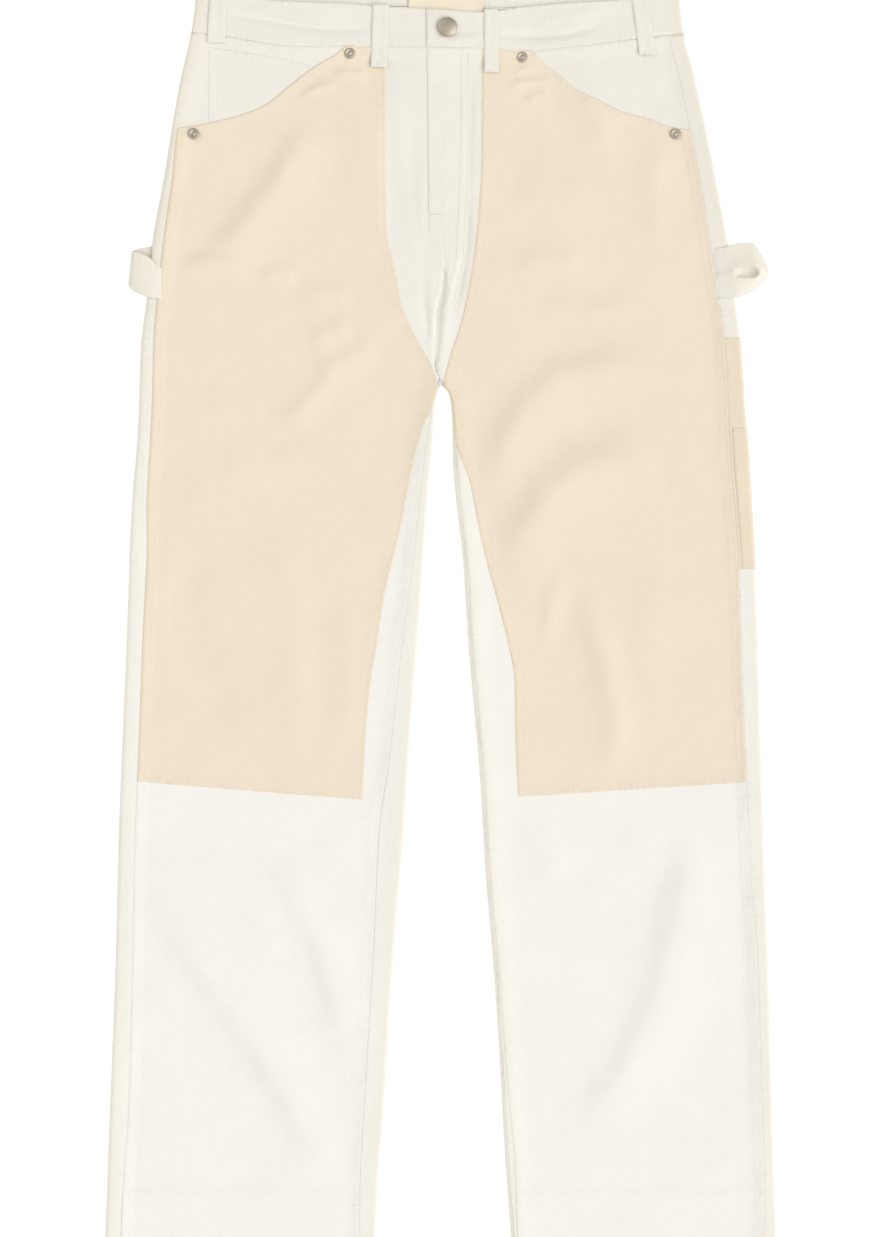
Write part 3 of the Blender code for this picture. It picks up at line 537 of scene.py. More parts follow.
def front_shape(side):
    def shape(u, v):
        across, rise = crowd(u), crowd(v, 0.8)

        def out_at(up):
            start = side_seam(side, up)
            return start + (inner_seam(side, up) - start) * across

        top = settle_top(side, out_at, across.shape)
        share = HIP / WAIST
        up = np.where(rise < share, HIP * rise / share,
                      HIP + (top - HIP) * (rise - share) / (1 - share))
        out = out_at(up)
        to_side = side_seam(side, up) - out
        to_inner = out - inner_seam(side, up)
        z = front_height(side, out, up)
        z = z + felled(to_side) + 0.6 * felled(to_inner) * (up < INSEAM)
        z = z + HEM_LIFT * (1 - ease(HEM_DEPTH - HEM_BLEND, HEM_DEPTH + HEM_BLEND, up))
        z = z - roll(to_side, to_inner) - roll(up, drop=HEM_ROLL[0], reach=HEM_ROLL[1])
        slot = ease(*CROTCH_SLOT_UP[:2], up) * (1 - ease(*CROTCH_SLOT_UP[2:], up))
        z = z - CROTCH_SLOT * slot * np.exp(-(to_inner / CROTCH_SLOT_WIDTH) ** 2)
        z = np.maximum(z, LOWEST)
        z = z - np.where(out < MOUTH[side][1][0], tucked(top - up), roll(top - up))
        level_edges = [top - up, np.abs(up - HEM_DEPTH) + 4]
        return SIDES[side] * out, up, z, [to_side, to_inner], level_edges
    return shape


def knee_shape(side):
    def shape(u, v):
        across, rise = crowd(u), crowd(v, 0.8)
        at_side, at_inner = KNEE_BOTTOM[side]
        low = at_side + (at_inner - at_side) * across

        def out_at(up):
            start = side_seam(side, up)
            return start + (knee_edge(side, up) - start) * across

        top = settle_top(side, out_at, across.shape)
        share = (HIP - KNEE_LOW) / (WAIST - KNEE_LOW)
        up = np.where(rise < share, low + (HIP - low) * rise / share,
                      HIP + (top - HIP) * (rise - share) / (1 - share))
        out = out_at(up)
        to_side = side_seam(side, up) - out
        to_inner = out - knee_edge(side, up)
        z = front_height(side, out, up) - edge_fall(side, out, up) + KNEE_RISE + felled(to_side)
        edge = nearest_of(to_side, to_inner, top - up, up - low)
        z = z - np.where(out < MOUTH[side][2][0] - 5, tucked(top - up), 0)
        z = z + KNEE_PUFF * (1 - np.exp(-edge / 9)) - roll(edge, drop=KNEE_ROLL)
        z = np.maximum(z, LOWEST + PATCH)
        return SIDES[side] * out, up, z, [to_side, to_inner], [top - up, up - low]
    return shape


def back_shape(side):
    def shape(u, v):
        part = np.minimum((u * 5 + 1e-9).astype(int), 4)
        share = u * 5 - part
        top = np.full(u.shape, WAIST)
        behind = np.clip(u * 5 - 1, 0, 1)
        for _ in range(SETTLE):
            up = np.where(v <= BACK_CROTCH, INSEAM * v / BACK_CROTCH,
                          INSEAM + (top - INSEAM) * (v - BACK_CROTCH) / (1 - BACK_CROTCH))
            out, z = back_place(side, up, part, share, level=False)
            x = SIDES[side] * out
            low, high = band(x, "front_seam"), band(x, "back_seam")
            room = np.select([behind <= 0, behind < 1], [BAND_TUCK, -TUCK], -WAIST_ROOM)
            top = low + (high - low) * behind + room
        out, z = back_place(side, up, part, share)
        x = SIDES[side] * out
        to_side = np.abs(np.where(part == 0, side_seam(side, up) - out, FAR))
        to_inner = np.abs(np.where(part == 4, inner_seam(side, up) - out, FAR))
        mouth_foot = MOUTH[side][-1][1]
        plain = ease(mouth_foot - 6, mouth_foot + 4, up)
        z = z - roll(to_side + 3 * plain, to_inner) - np.where(part == 0, tucked(top - up), 0)
        return x, up, z, [to_side + 30 * plain, to_inner], [top - up]
    return shape


def back_place(side, up, part, share, level=True):
    """Place (out, z) round the section of a back: strip, edge, underside, edge, strip.

    Without level the strips' heights are left at 0, as only their places are wanted.
    """
    outer, inner = section(side, up, "outer"), section(side, up, "inner")
    flat_start = outer - EDGE_RADIUS
    below = up <= INSEAM + 0.01
    flat_end = np.where(below, inner + EDGE_RADIUS, SEAM / 2)
    start = side_seam(side, up) - TUCK
    strip = inner + np.maximum(section(side, up, "inner_strip"), LEAST_STRIP) + TUCK
    turn = math.pi / 2 - math.pi * share
    out = np.select(
        [part == 0, part == 1, part == 2, part == 3],
        [start + (flat_start - start) * share, flat_start + EDGE_RADIUS * np.cos(turn),
         flat_start + (flat_end - flat_start) * share, flat_end - EDGE_RADIUS * np.cos(turn)],
        flat_end + (strip - flat_end) * share)
    z = np.select([part == 1, part == 2, part == 3],
                  [EDGE_RADIUS * (1 + np.sin(turn)), np.zeros_like(out),
                   EDGE_RADIUS * (1 - np.sin(turn))],
                  front_height(side, out, up) if level else 0.0)
    above = ~below & (part > 2)
    return np.where(above, flat_end, out), np.where(above, 0.0, z)


def facing_shape(side):
    def shape(u, v):
        across = crowd(u) * FACING_SHARE

        def out_at(up):
            start = side_seam(side, up)
            return start + (knee_edge(side, up) - start) * across

        low = settle_top(side, out_at, across.shape) - FACING_TUCK
        high = np.full(across.shape, WAIST)
        for _ in range(SETTLE):
            high = band(SIDES[side] * out_at(high), "front_seam") + BAND_TUCK
        up = low + (high - low) * v
        out = out_at(up)
        to_side = side_seam(side, up) - out
        z = front_height(side, out, up) - FACING_SUNK * ease(0, 9, to_side) - tucked(high - up)
        z = z - 0.06 * (1 - ease(0, 1.5, to_side))
        return SIDES[side] * out, up, z, [to_side + 30], [high - up]
    return shape


def coin_pocket_shape(u, v):
    across = crowd(u, 0.9)
    x = COIN_POCKET_X[0] + (COIN_POCKET_X[1] - COIN_POCKET_X[0]) * across
    top = smooth_read(COIN_POCKET_KEYS, COIN_POCKET_TOP, across)
    low = mouth("left", -x) + 1.0
    up = low + (top - low) * crowd(v, 0.7)
    edges = x - COIN_POCKET_X[0], top - up
    z = front_height("left", -x, up) - FACING_SUNK + COIN_POCKET_LIFT
    return x, up, z - roll(*edges), edges[:1], edges[1:]


def band_height(side, x, up):
    """Top of the front half of the waistband, whose right end laps over the left one."""
    lift = LAP_LIFT * (1 - ease(LAP_END, LAP_REACH, x)) if side == "right" else 0.0
    if side == "left":
        lift = -LAP_SINK * ease(LAP_START - 1.5, LAP_START + 1.5, x)
    return BAND_TOP + lift + fold_rise(BAND_FOLDS, side, x, up) + 0.6 * ripple(x, up, 0.7)


def waistband_shape(side):
    sign = SIDES[side]

    def shape(u, v):
        part = np.select([u < BAND_FRONT_END, u < BAND_SIDE_END], [0, 1], 2)
        front_share = np.clip(u / BAND_FRONT_END, 0, 1)
        behind = np.clip((u - BAND_FRONT_END) / (BAND_SIDE_END - BAND_FRONT_END), 0, 1)
        back_share = np.clip((u - BAND_SIDE_END) / (1 - BAND_SIDE_END), 0, 1)
        turn = math.pi / 2 - math.pi * behind
        rise = crowd(v, 0.9)
        start = LAP_END - SEAM if side == "left" else LAP_START
        up = np.full(u.shape, WAIST)
        for _ in range(SETTLE):
            waist = section(side, up, "outer") - EDGE_RADIUS
            front_x = start + (sign * waist - start) * crowd(front_share * 0.5, 0.8) * 2
            back_x = sign * (waist + (SEAM / 2 - waist) * back_share)
            side_x = sign * (waist + EDGE_RADIUS * np.cos(turn))
            x = np.select([part == 0, part == 1], [front_x, side_x], back_x)
            low = band(x, "front_seam") * (1 - behind) + band(x, "back_seam") * behind
            high = band(x, "front_top") * (1 - behind) + band(x, "back_top") * behind
            up = low + (high - low) * rise
        front_z = band_height(side, x, up)
        z = np.select([part == 0, part == 1], [front_z, EDGE_RADIUS * (1 + np.sin(turn))], 0.0)
        end = np.where(part == 0, np.abs(x - start), FAR)
        edge = nearest_of(up - low, high - up, end)
        lapped = 1 - ease(LAP_END, LAP_REACH, x) if side == "right" else 0.0
        level = np.where(part == 0, z - roll(edge, drop=0.4 + 0.9 * lapped, reach=0.9 + lapped), z)
        return x, up, level, [end], [up - low, high - up]
    return shape


def fly_shape(u, v):
    across, rise = crowd(u, 0.9), crowd(v, 0.7)
    up = FLY[0][0] + (FLY[-1][0] - FLY[0][0]) * rise
    left, right = table_read(FLY, 1, up), table_read(FLY, 2, up)
    x = left + (right - left) * across
    centre = table_read(CENTRE, 1, up)
    z = np.where(x < centre, front_height("left", np.abs(x), up),
                 front_height("right", np.abs(x), up))
    near_left = 1 - ease(0.3, 0.8, across)
    z = z + FLY_SUNK + (FLY_LIFT - FLY_SUNK) * ease(868, 925, up) * near_left
    z = z + 0.3 * (1 - near_left) * ease(835, 860, up)
    z = np.maximum(z - roll(x - left) - tucked(FLY[-1][0] - up), LOWEST + FLY_OVER)
    return x, up, z, [x - left], [np.full(x.shape, FAR)]


# Belt loops: name, left and right x at the top, left and right x at the foot, heights, foot level.
BELT_LOOPS = (
    ("belt_loop_front_left", -60.0, -46.5, -62.0, -48.0, 1098.5, 1043.0, 7.2),
    ("belt_loop_front_right", 38.7, 50.3, 38.7, 50.8, 1094.5, 1038.5, 7.2),
    ("belt_loop_side_left", -204.5, -190.5, -207.0, -191.5, 1106.0, 1064.5, 6.6),
    ("belt_loop_side_right", 169.5, 183.0, 176.0, 190.0, 1103.5, 1054.0, 6.6),
)


def belt_loop_shape(top_left, top_right, foot_left, foot_right, top, foot, level):
    def shape(u, v):
        across = crowd(u, 0.9)
        seam = float(band((foot_left + foot_right) / 2, "front_seam"))
        over = BAND_TOP + LOOP_CLOTH / 2
        ups = (foot, seam - 9, seam + 2, (seam + top) / 2, top - 7, top)
        levels = (level, level + 0.1, over + 0.3, over + 0.9, over + 0.6, over + 0.3)
        up = foot + (top - foot) * v
        left = foot_left + (top_left - foot_left) * v
        right = foot_right + (top_right - foot_right) * v
        x = left + (right - left) * across
        edges = x - left, right - x
        level_at = smooth_read(ups, levels, up) - 0.5 - roll(*edges, drop=0.5, reach=0.8)
        return x, up, level_at, edges, [up - foot]
    return shape


# Hammer loops: a row for each section, with x, up and z of the outer and of the inner edge.
HAMMER_LOOPS = {
    "hammer_loop_left": (
        ((-246.5, 864, 4.6), (-246.5, 838, 4.6)), ((-250.5, 867, 7.0), (-250.5, 838, 7.0)),
        ((-256.5, 873, 8.0), (-254.5, 838, 7.8)),
        ((-264, 877, 8.8), (-263, 840.5, 8.2)), ((-270.5, 879, 8.2), (-272, 844.5, 6.8)),
        ((-273.5, 880, 5.6), (-276.5, 850, 4.6)), ((-272.5, 881, 2.6), (-274.5, 853, 2.1)),
        ((-268, 883, 1.15), (-268, 856, 1.05)), ((-262, 884, 1.05), (-262, 858, 1.05)),
        ((-256.5, 885, 1.2), (-256.5, 859, 1.2)),
    ),
    "hammer_loop_right": (
        ((240.5, 882.3, 4.2), (241, 861.5, 4.2)), ((245.5, 882.7, 6.0), (246, 862, 6.2)),
        ((254, 884, 7.0), (256, 864.5, 8.2)),
        ((265, 887, 5.2), (264.5, 866, 10.4)), ((275, 887.5, 3.0), (273, 867.5, 11.0)),
        ((283.5, 878, 1.8), (278, 866, 11.2)), ((290, 865, 1.6), (281.5, 861, 11.0)),
        ((289.5, 859, 1.7), (280, 857.5, 10.8)), ((281, 849, 2.4), (275, 855.5, 10.4)),
        ((272, 842.5, 4.0), (268, 856, 10.0)), ((261, 839, 7.2), (261, 856, 9.6)),
        ((253, 838.5, 7.1), (254, 856, 8.0)), ((245.5, 839, 6.0), (246, 856.5, 6.2)),
        ((240.5, 839, 4.2), (241, 857, 4.2)),
    ),
}


def hammer_loop_shape(name):
    rows = np.array(HAMMER_LOOPS[name], float)
    keys = np.arange(len(rows))

    def shape(u, v):
        at = v * (len(rows) - 1)
        across = crowd(u, 0.9)
        ends = [[smooth_read(keys, rows[:, end, axis], at) for axis in range(3)] for end in (0, 1)]
        if name == "hammer_loop_right":
            crest = np.clip(across / LOOP_CREST, 0, 1)
            x, up, z = [first + (last - first) * crest for first, last in zip(*ends)]
            inward = np.clip((across - LOOP_CREST) / (1 - LOOP_CREST), 0, 1)
            x = x + (np.clip(x, *LOOP_EYE_X) - x) * inward
            up = up + (LOOP_EYE_UP - up) * inward * 1.12
            z = z - LOOP_EYE_DEPTH * inward ** 0.4 * ease(*LOOP_SLIT, x) - 0.3 * inward * (v > 0.5)
        else:
            x, up, z = [first + (last - first) * across for first, last in zip(*ends)]
        return x, up, z, [np.full(u.shape, FAR)], [across * 25, (1 - across) * 25]
    return shape


def edge_pocket_shape(side, low, high, layer, inset):
    sign = SIDES[side]

    def shape(u, v):
        up = low + (high - low) * crowd(v, 0.8)
        offset = LAYER_STEP * (1 + layer)
        end = section(side, up, "outer") - EDGE_RADIUS
        start = side_seam(side, up) + inset
        turn = math.pi / 2 - np.clip((u - 0.5) * 2, 0, 1) * math.radians(118)
        strip = start + (end - start) * np.clip(u * 2, 0, 1)
        radius = EDGE_RADIUS + offset
        out = np.where(u < 0.5, strip, end + radius * np.cos(turn))
        z = np.where(u < 0.5, front_height(side, strip, up) + offset,
                     EDGE_RADIUS + radius * np.sin(turn))
        edge = nearest_of(np.where(u < 0.5, out - start, FAR), up - low, high - up)
        return sign * out, up, z - roll(edge), [out - start], [up - low, high - up]
    return shape


def label_shape(u, v):
    x = LABEL_X[0] + (LABEL_X[1] - LABEL_X[0]) * u
    up = LABEL_UP[0] + (LABEL_UP[1] - LABEL_UP[0]) * v
    z = np.full(u.shape, LABEL_TOP)
    return x, up, z, [x - LABEL_X[0], LABEL_X[1] - x], [up - LABEL_UP[0], LABEL_UP[1] - up]


class Look:
    """A material and the nodes that feed its shader."""

    def __init__(self, name, **settings):
        self.material = bpy.data.materials.new(name)
        self.material.use_nodes = True
        self.tree = self.material.node_tree
        self.shader = self.tree.nodes["Principled BSDF"]
        self.give(self.shader, settings)
        self.place = self.node("TexCoord", (-1500, 0), "Object")

    def feed(self, socket, value):
        if isinstance(value, bpy.types.NodeSocket):
            self.tree.links.new(value, socket)
        else:
            socket.default_value = value

    def give(self, node, settings):
        """Set a node's own fields, which are in lower case, then set or link its inputs."""
        for name, value in settings.items():
            if name[0].islower():
                setattr(node, name, value)
            else:
                self.feed(node.inputs[name.replace("_", " ")], value)

    def node(self, kind, location, output, *values, **settings):
        """Add a node, feed its first inputs from values and return one of its outputs."""
        node = self.tree.nodes.new("ShaderNode" + kind)
        node.location = location
        self.give(node, settings)
        for socket, value in zip(node.inputs, values):
            self.feed(socket, value)
        return node.outputs[output]


def canvas_material(name, colour, weave=0.7, pucker=0.45, waist_painted_shade=(1.0, 1.0, 1.0)):
    """Woven cotton canvas: threads, slubs, puckers beside the sewn edges, painted shade in the
    seams, toward the waist and near the outlines.
    """
    look = Look(name, Roughness=0.92, Specular_IOR_Level=0.2, Sheen_Weight=0.12,
                Sheen_Roughness=0.6)
    add, place = look.node, look.place
    edge, along, tuck, rim = [
        add("Attribute", (-1500, -300 - 200 * row), "Fac", attribute_name=attribute)
        for row, attribute in enumerate(("edge", "along", "tuck", "rim"))]

    # Threads of the plain weave.
    threads = [
        add("TexWave", (-1200, 300 - 300 * row), "Fac", bands_direction=direction, Vector=place,
            Scale=WAVE_SCALE / (weave * MM), Distortion=1.2, Detail=1.0, Detail_Scale=2.0)
        for row, direction in enumerate(("X", "Y"))]
    weave_height = add("Math", (-900, 200), "Value", *threads, operation="MULTIPLY")

    # Slubs: thick threads, longer than wide.
    stretch = add("Mapping", (-1200, 600), "Vector", Vector=place, Scale=(1.0, 0.18, 1.0))
    slub = add("TexNoise", (-900, 600), "Fac", Vector=stretch, Scale=900.0, Detail=3.0)
    cloud = add("TexNoise", (-900, 900), "Fac", Vector=place, Scale=16.0, Detail=4.0)

    # Puckers: cloth drawn up beside the stitches.
    near = add("MapRange", (-900, -500), "Result", Value=edge, From_Min=1.0, From_Max=13.0,
               To_Min=1.0, To_Max=0.06)
    drawn = add("TexNoise", (-900, -200), "Fac", Vector=place, Scale=115.0, Detail=2.5,
                Roughness=0.55)
    pucker_height = add("Math", (-600, -300), "Value", near, drawn, operation="MULTIPLY")

    # Ticks: the short tucks square to a row of stitches.
    tick = add("TexNoise", (-1200, -800), "Fac", noise_dimensions="1D", W=along, Scale=1.0,
               Detail=1.0)
    uneven = add("TexNoise", (-1500, -1400), "Fac", Vector=place, Scale=22.0, Detail=1.0)
    stretches = add("MapRange", (-1200, -1300), "Result", Value=uneven, From_Min=0.4,
                    From_Max=0.65)
    ticks = add("Math", (-900, -900), "Value", tick, tuck, operation="MULTIPLY")
    ticks = add("Math", (-750, -900), "Value", ticks, stretches, operation="MULTIPLY")

    normal = None
    for column, (height, strength, distance) in enumerate((
            (ticks, 1.0, 0.8), (pucker_height, 1.0, 2 * pucker), (slub, 0.6, 0.05),
            (weave_height, 0.5, 0.12))):
        below = {"Normal": normal} if normal is not None else {}
        normal = add("Bump", (-500 + 200 * column, -300), "Normal", Height=height,
                     Strength=strength, Distance=distance * MM, **below)

    # Colour: the dyed cloth, mottled a little, with painted shade toward the waist, near the
    # outline and in the seams.
    deep = [part * (1 - MOTTLE) for part in colour]
    pale = [min(part * (1 + MOTTLE / 3), 1.0) for part in colour]
    spots = add("Math", (-700, 800), "Value", cloud, 0.8, slub, operation="MULTIPLY_ADD")
    fit = add("MapRange", (-600, 900), "Result", Value=spots, From_Min=0.65, From_Max=1.15)
    tinted = add("Mix", (-500, 700), "Result", data_type="RGBA", A=(*deep, 1.0), B=(*pale, 1.0),
                 Factor=fit)
    # Painted shade toward the waist: the colour darkens as Y rises.
    height = add("SeparateXYZ", (-900, 1150), "Y", Vector=place)
    upper = add("MapRange", (-700, 1150), "Result", Value=height, From_Min=0.1, From_Max=0.32)
    # Multiply in the painted shade toward the waist and the painted shade near the outline.
    for column, (source, amount) in enumerate(((upper, waist_painted_shade), (rim, RIM_PAINTED_SHADE))):
        tinted = add("Mix", (-350 + 120 * column, 900), "Result", data_type="RGBA",
                     blend_type="MULTIPLY", A=tinted, B=(*amount, 1.0), Factor=source)
    # Painted shade in the seams: up to 5% darker within 1.6 mm of a sewn edge.
    seam = add("MapRange", (-500, 300), "Result", Value=edge, From_Min=0.0, From_Max=1.6,
               To_Min=0.95, To_Max=1.0)
    shade = add("VectorMath", (-100, 500), "Vector", operation="SCALE", Vector=tinted, Scale=seam)
    look.give(look.shader, {"Base_Color": shade, "Normal": normal})
    return look.material


def thread_material(name, colour):
    """Spun cotton sewing thread with its twist."""
    look = Look(name, Base_Color=(*colour, 1.0), Roughness=0.7, Sheen_Weight=0.1)
    twist = look.node("TexNoise", (-600, 0), "Fac", Vector=look.place, Scale=2500.0, Detail=2.0)
    tint = look.node("Mix", (-300, 200), "Result", data_type="RGBA", Factor=twist,
                     A=(*[part * 0.93 for part in colour], 1.0), B=(*colour, 1.0))
    bump = look.node("Bump", (-300, -200), "Normal", Height=twist, Strength=0.4,
                     Distance=0.05 * MM)
    look.give(look.shader, {"Base_Color": tint, "Normal": bump})
    return look.material


def metal_material(name, colour):
    """Dull antique metal, patchy in colour and roughness, with fine scratches."""
    look = Look(name, Metallic=1.0)
    patina = look.node("TexNoise", (-800, 200), "Fac", Vector=look.place, Scale=420.0,
                       Detail=5.0, Roughness=0.65)
    tint = look.node("Mix", (-400, 200), "Result", data_type="RGBA", Factor=patina,
                     A=(*[part * 0.72 for part in colour], 1.0),
                     B=(*[min(part * 1.2, 1.0) for part in colour], 1.0))
    dull = look.node("MapRange", (-400, -50), "Result", Value=patina, To_Min=0.42, To_Max=0.62)
    bump = look.node("Bump", (-400, -300), "Normal", Height=patina, Strength=0.25,
                     Distance=0.08 * MM)
    look.give(look.shader, {"Base_Color": tint, "Roughness": dull, "Normal": bump})
    return look.material


class Sewing:
    """Collects rows of stitches and makes them one object."""

    def __init__(self):
        self.stitches = []

    def row(self, points):
        """Stitches along points (x, up, z) that are given in millimetres."""
        sizes = bpy.context.scene.trousers_sewing
        pitch, length, width = (size / MM for size in (sizes.pitch, sizes.length, sizes.thread))
        points = np.asarray(points, float)
        steps = np.linalg.norm(np.diff(points, axis=0), axis=1)
        walked = np.concatenate([[0.0], np.cumsum(steps)])
        starts = np.arange(0.3, walked[-1] - length, pitch)
        first, last = [
            np.stack([np.interp(at, walked, points[:, axis]) for axis in range(3)], axis=1)
            for at in (starts, starts + length)]
        self.stitches += list(zip(first, last, [width] * len(starts)))

    def bar(self, first, last, height=2.0, step=0.55):
        """A bartack: short stitches side by side, square to the line from first to last."""
        first, last = np.asarray(first, float), np.asarray(last, float)
        run = last - first
        length = float(np.linalg.norm(run))
        aside = np.array([-run[1], run[0], 0.0]) / length * height / 2
        for at in np.arange(0, length, step):
            middle = first + run * at / length
            self.stitches.append((middle - aside, middle + aside, step * 1.35))

    def build(self, name, shade):
        bm = bmesh.new()
        block_mesh = bpy.data.meshes.new(name + "_block")
        for start in range(0, len(self.stitches), STITCH_BLOCK):
            block = bmesh.new()
            for first, last, width in self.stitches[start:start + STITCH_BLOCK]:
                run = last - first
                length = float(np.linalg.norm(run))
                run = run / length
                aside = np.cross((0.0, 0.0, 1.0), run)
                aside = aside / max(float(np.linalg.norm(aside)), 1e-6)
                over = np.cross(run, aside)
                basis = np.stack([aside * width, over * width * 0.6, run * length], axis=1) * MM
                place = Matrix(basis.tolist()).to_4x4()
                place.translation = Vector(world(*((first + last) / 2)).tolist())
                bmesh.ops.create_uvsphere(block, u_segments=6, v_segments=3, radius=0.5,
                                          matrix=place)
            block.to_mesh(block_mesh)
            block.free()
            bm.from_mesh(block_mesh)
        bpy.data.meshes.remove(block_mesh)
        finish(name, bm, material_for(shade + "_thread"))


def front_line(side, outs, ups, lift=0.0):
    """Points on top of a front panel."""
    outs, ups = np.broadcast_arrays(np.atleast_1d(outs).astype(float), np.asarray(ups, float))
    x = SIDES[side] * outs
    return np.stack([x, ups, front_height(side, outs, ups) + lift], axis=1)


def sew_leg(side):
    """Rows of stitches that lie on the cream front and back of one leg."""
    sewing = Sewing()
    up = np.arange(2.0, KNEE_BOTTOM[side][0] - 2, ROW_STEP)
    for inset in SEAM_ROWS[side]:
        sewing.row(front_line(side, side_seam(side, up) - inset, up, FELL_LIFT))
    inseam = np.arange(2.0, INSEAM - 12, ROW_STEP)
    sewing.row(front_line(side, inner_seam(side, inseam) + 2.0, inseam, 0.12))
    out = np.arange(inner_seam(side, HEM_DEPTH) + 2, side_seam(side, HEM_DEPTH) - 2, 1.5)
    sewing.row(front_line(side, out, np.full(out.shape, HEM_DEPTH - 2), HEM_LIFT))
    across = np.arange(MOUTH[side][0][0] + 3, side_seam(side, 988) - 1, 1.5)
    for drop in MOUTH_ROWS:
        level = mouth(side, across) - drop
        sewing.row(front_line(side, across, np.minimum(level, WAIST - drop), KNEE_RISE + 0.2))
    return sewing


def sew_knee(side):
    """Rows of stitches round the beige double front."""
    sewing = Sewing()
    over = KNEE_RISE + 0.2
    at_side, at_inner = KNEE_BOTTOM[side]
    up = np.arange(at_inner + 2, 1055.0, ROW_STEP)
    for inset in KNEE_ROWS:
        line = front_line(side, knee_edge(side, up) + inset, up, over)
        line[:, 2] -= edge_fall(side, knee_edge(side, up) + inset, up)
        sewing.row(line)
    along = np.arange(at_side + 2, 982.0, ROW_STEP)
    for inset in PATCH_ROWS:
        sewing.row(front_line(side, side_seam(side, along) - inset, along, over + FELL_LIFT))
    left, right = side_seam(side, at_side) - 2, knee_edge(side, at_inner) + 2
    share = np.linspace(0, 1, 120)
    for lift in KNEE_ROWS:
        sewing.row(front_line(side, left + (right - left) * share,
                              at_side + (at_inner - at_side) * share + lift, over))
    return sewing


def sew_waist(side):
    """Rows along the waistband; on the right also the lap end, the fly and the bartacks."""
    sewing = Sewing()
    sign = SIDES[side]
    start = LAP_START + 2.5 if side == "right" else -LAP_END + 6.0
    outs = np.arange(start, 205.0, ROW_STEP)
    x = sign * outs
    for edge, inset in (("front_seam", 2.2), ("front_top", -2.2)):
        up = band(x, edge) + inset
        sewing.row(np.stack([x, up, band_height(side, x, up)], axis=1))
    if side == "right":
        up = np.arange(float(band(LAP_START, "front_seam")) + 3, 1092.0, ROW_STEP)
        x = np.full(up.shape, LAP_START + 2.2)
        sewing.row(np.stack([x, up, band_height(side, x, up)], axis=1))
        up = np.arange(FLY[0][0] + 6, FLY[-1][0] - 4, ROW_STEP)
        for inset in FLY_ROWS:
            x = table_read(FLY, 2, up) - inset
            sewing.row(front_line(side, x, up, 0.75))
        sewing.bar(*(front_line(side, at, FLY_BAR_UP, FLY_LIFT + 0.5)[0] for at in FLY_BAR_X))
        for up in SIDE_BARS:
            ends = [front_line(side, at, up, KNEE_RISE + 0.25)[0] for at in (40.0, 47.0)]
            sewing.bar(*ends, height=1.3)
    return sewing


def sew_loops():
    """Bars that hold the belt loops, and the edges of the hammer loops."""
    sewing = Sewing()
    for name, top_left, top_right, foot_left, foot_right, top, foot, level in BELT_LOOPS:
        place = belt_loop_shape(top_left, top_right, foot_left, foot_right, top, foot, level)
        for share in (0.05, 0.955):
            ends = []
            for across in (0.1, 0.9):
                x, up, z, _, _ = place(np.array([across]), np.array([share]))
                ends.append((float(x[0]), float(up[0]), float(z[0]) + LOOP_CLOTH / 2))
            sewing.bar(*ends, height=1.6)
    for name in HAMMER_LOOPS:
        place = hammer_loop_shape(name)
        walk = np.linspace(0.0, 0.42, 40)
        for across in ((0.2, 0.8) if name == "hammer_loop_left" else (0.2,)):
            x, up, z, _, _ = place(np.full(walk.shape, across), walk)
            sewing.row(np.stack([x, up, z + LOOP_CLOTH / 2 - 0.05], axis=1))
    return sewing


def sew_pockets():
    """Rows on the coin pocket and the label."""
    sewing = Sewing()
    lift = 0.02 - FACING_SUNK + COIN_POCKET_LIFT
    keys = np.linspace(0.03, 0.78, 60)
    for drop in PATCH_ROWS:
        x = COIN_POCKET_X[0] + (COIN_POCKET_X[1] - COIN_POCKET_X[0]) * keys
        up = smooth_read(COIN_POCKET_KEYS, COIN_POCKET_TOP, keys) - drop
        sewing.row(front_line("left", -x, up, lift))
    low = float(mouth("left", -COIN_POCKET_X[0])) + 3
    up = np.arange(low, COIN_POCKET_TOP[0] - 2, ROW_STEP)
    sewing.row(front_line("left", -COIN_POCKET_X[0] - 2.0, up, lift))
    x = np.arange(LABEL_X[0] + 2, LABEL_X[1] - 2, 1.5)
    up, z = np.full(x.shape, LABEL_UP[1] - 2.0), np.full(x.shape, LABEL_TOP)
    sewing.row(np.stack([x, up, z], axis=1))
    return sewing


def sew_tool_pocket():
    """Rows along the edges of the beige pocket at the side seam."""
    sewing = Sewing()
    for layer, inset, (low, high) in ((0, 2.0, TOOL_POCKET_BACK), (1, 5.0, TOOL_POCKET_FRONT)):
        lift = LAYER_STEP * (1 + layer)
        up = np.arange(low + 2, high - 1, ROW_STEP)
        sewing.row(front_line("right", side_seam("right", up) + inset, up, lift))
        for drop in MOUTH_ROWS:
            at = high - drop
            out = np.arange(float(side_seam("right", at)) + inset,
                            float(section("right", at, "outer")) - EDGE_RADIUS, 1.0)
            sewing.row(front_line("right", out, np.full(out.shape, at), lift))
    return sewing


# Profiles of the metal pieces: points (radius, height) below the rim, points (distance in from
# the rim, height) on it, points (radius, height) above it, and the steps round.
METAL = {
    "button": (((0, 0), (4.0, 0), (4.0, 0.8)),
               ((0.6, 0.9), (0.1, 1.1), (0, 1.4), (0.15, 1.7), (0.6, 2.0), (1.4, 2.32),
                (2.4, 2.66), (3.6, 2.97), (5, 3.22), (6.5, 3.37)),
               ((1.0, 3.42), (0, 3.43)), 64),
    "rivet": (((0, 0),),
              ((0, 0), (0, 0.45), (0.25, 0.95), (0.8, 1.25), (1.6, 1.25), (2.1, 0.95), (2.5, 0.7)),
              ((1.5, 0.72), (1.2, 1.0), (0.7, 1.25), (0, 1.3)), 48),
}


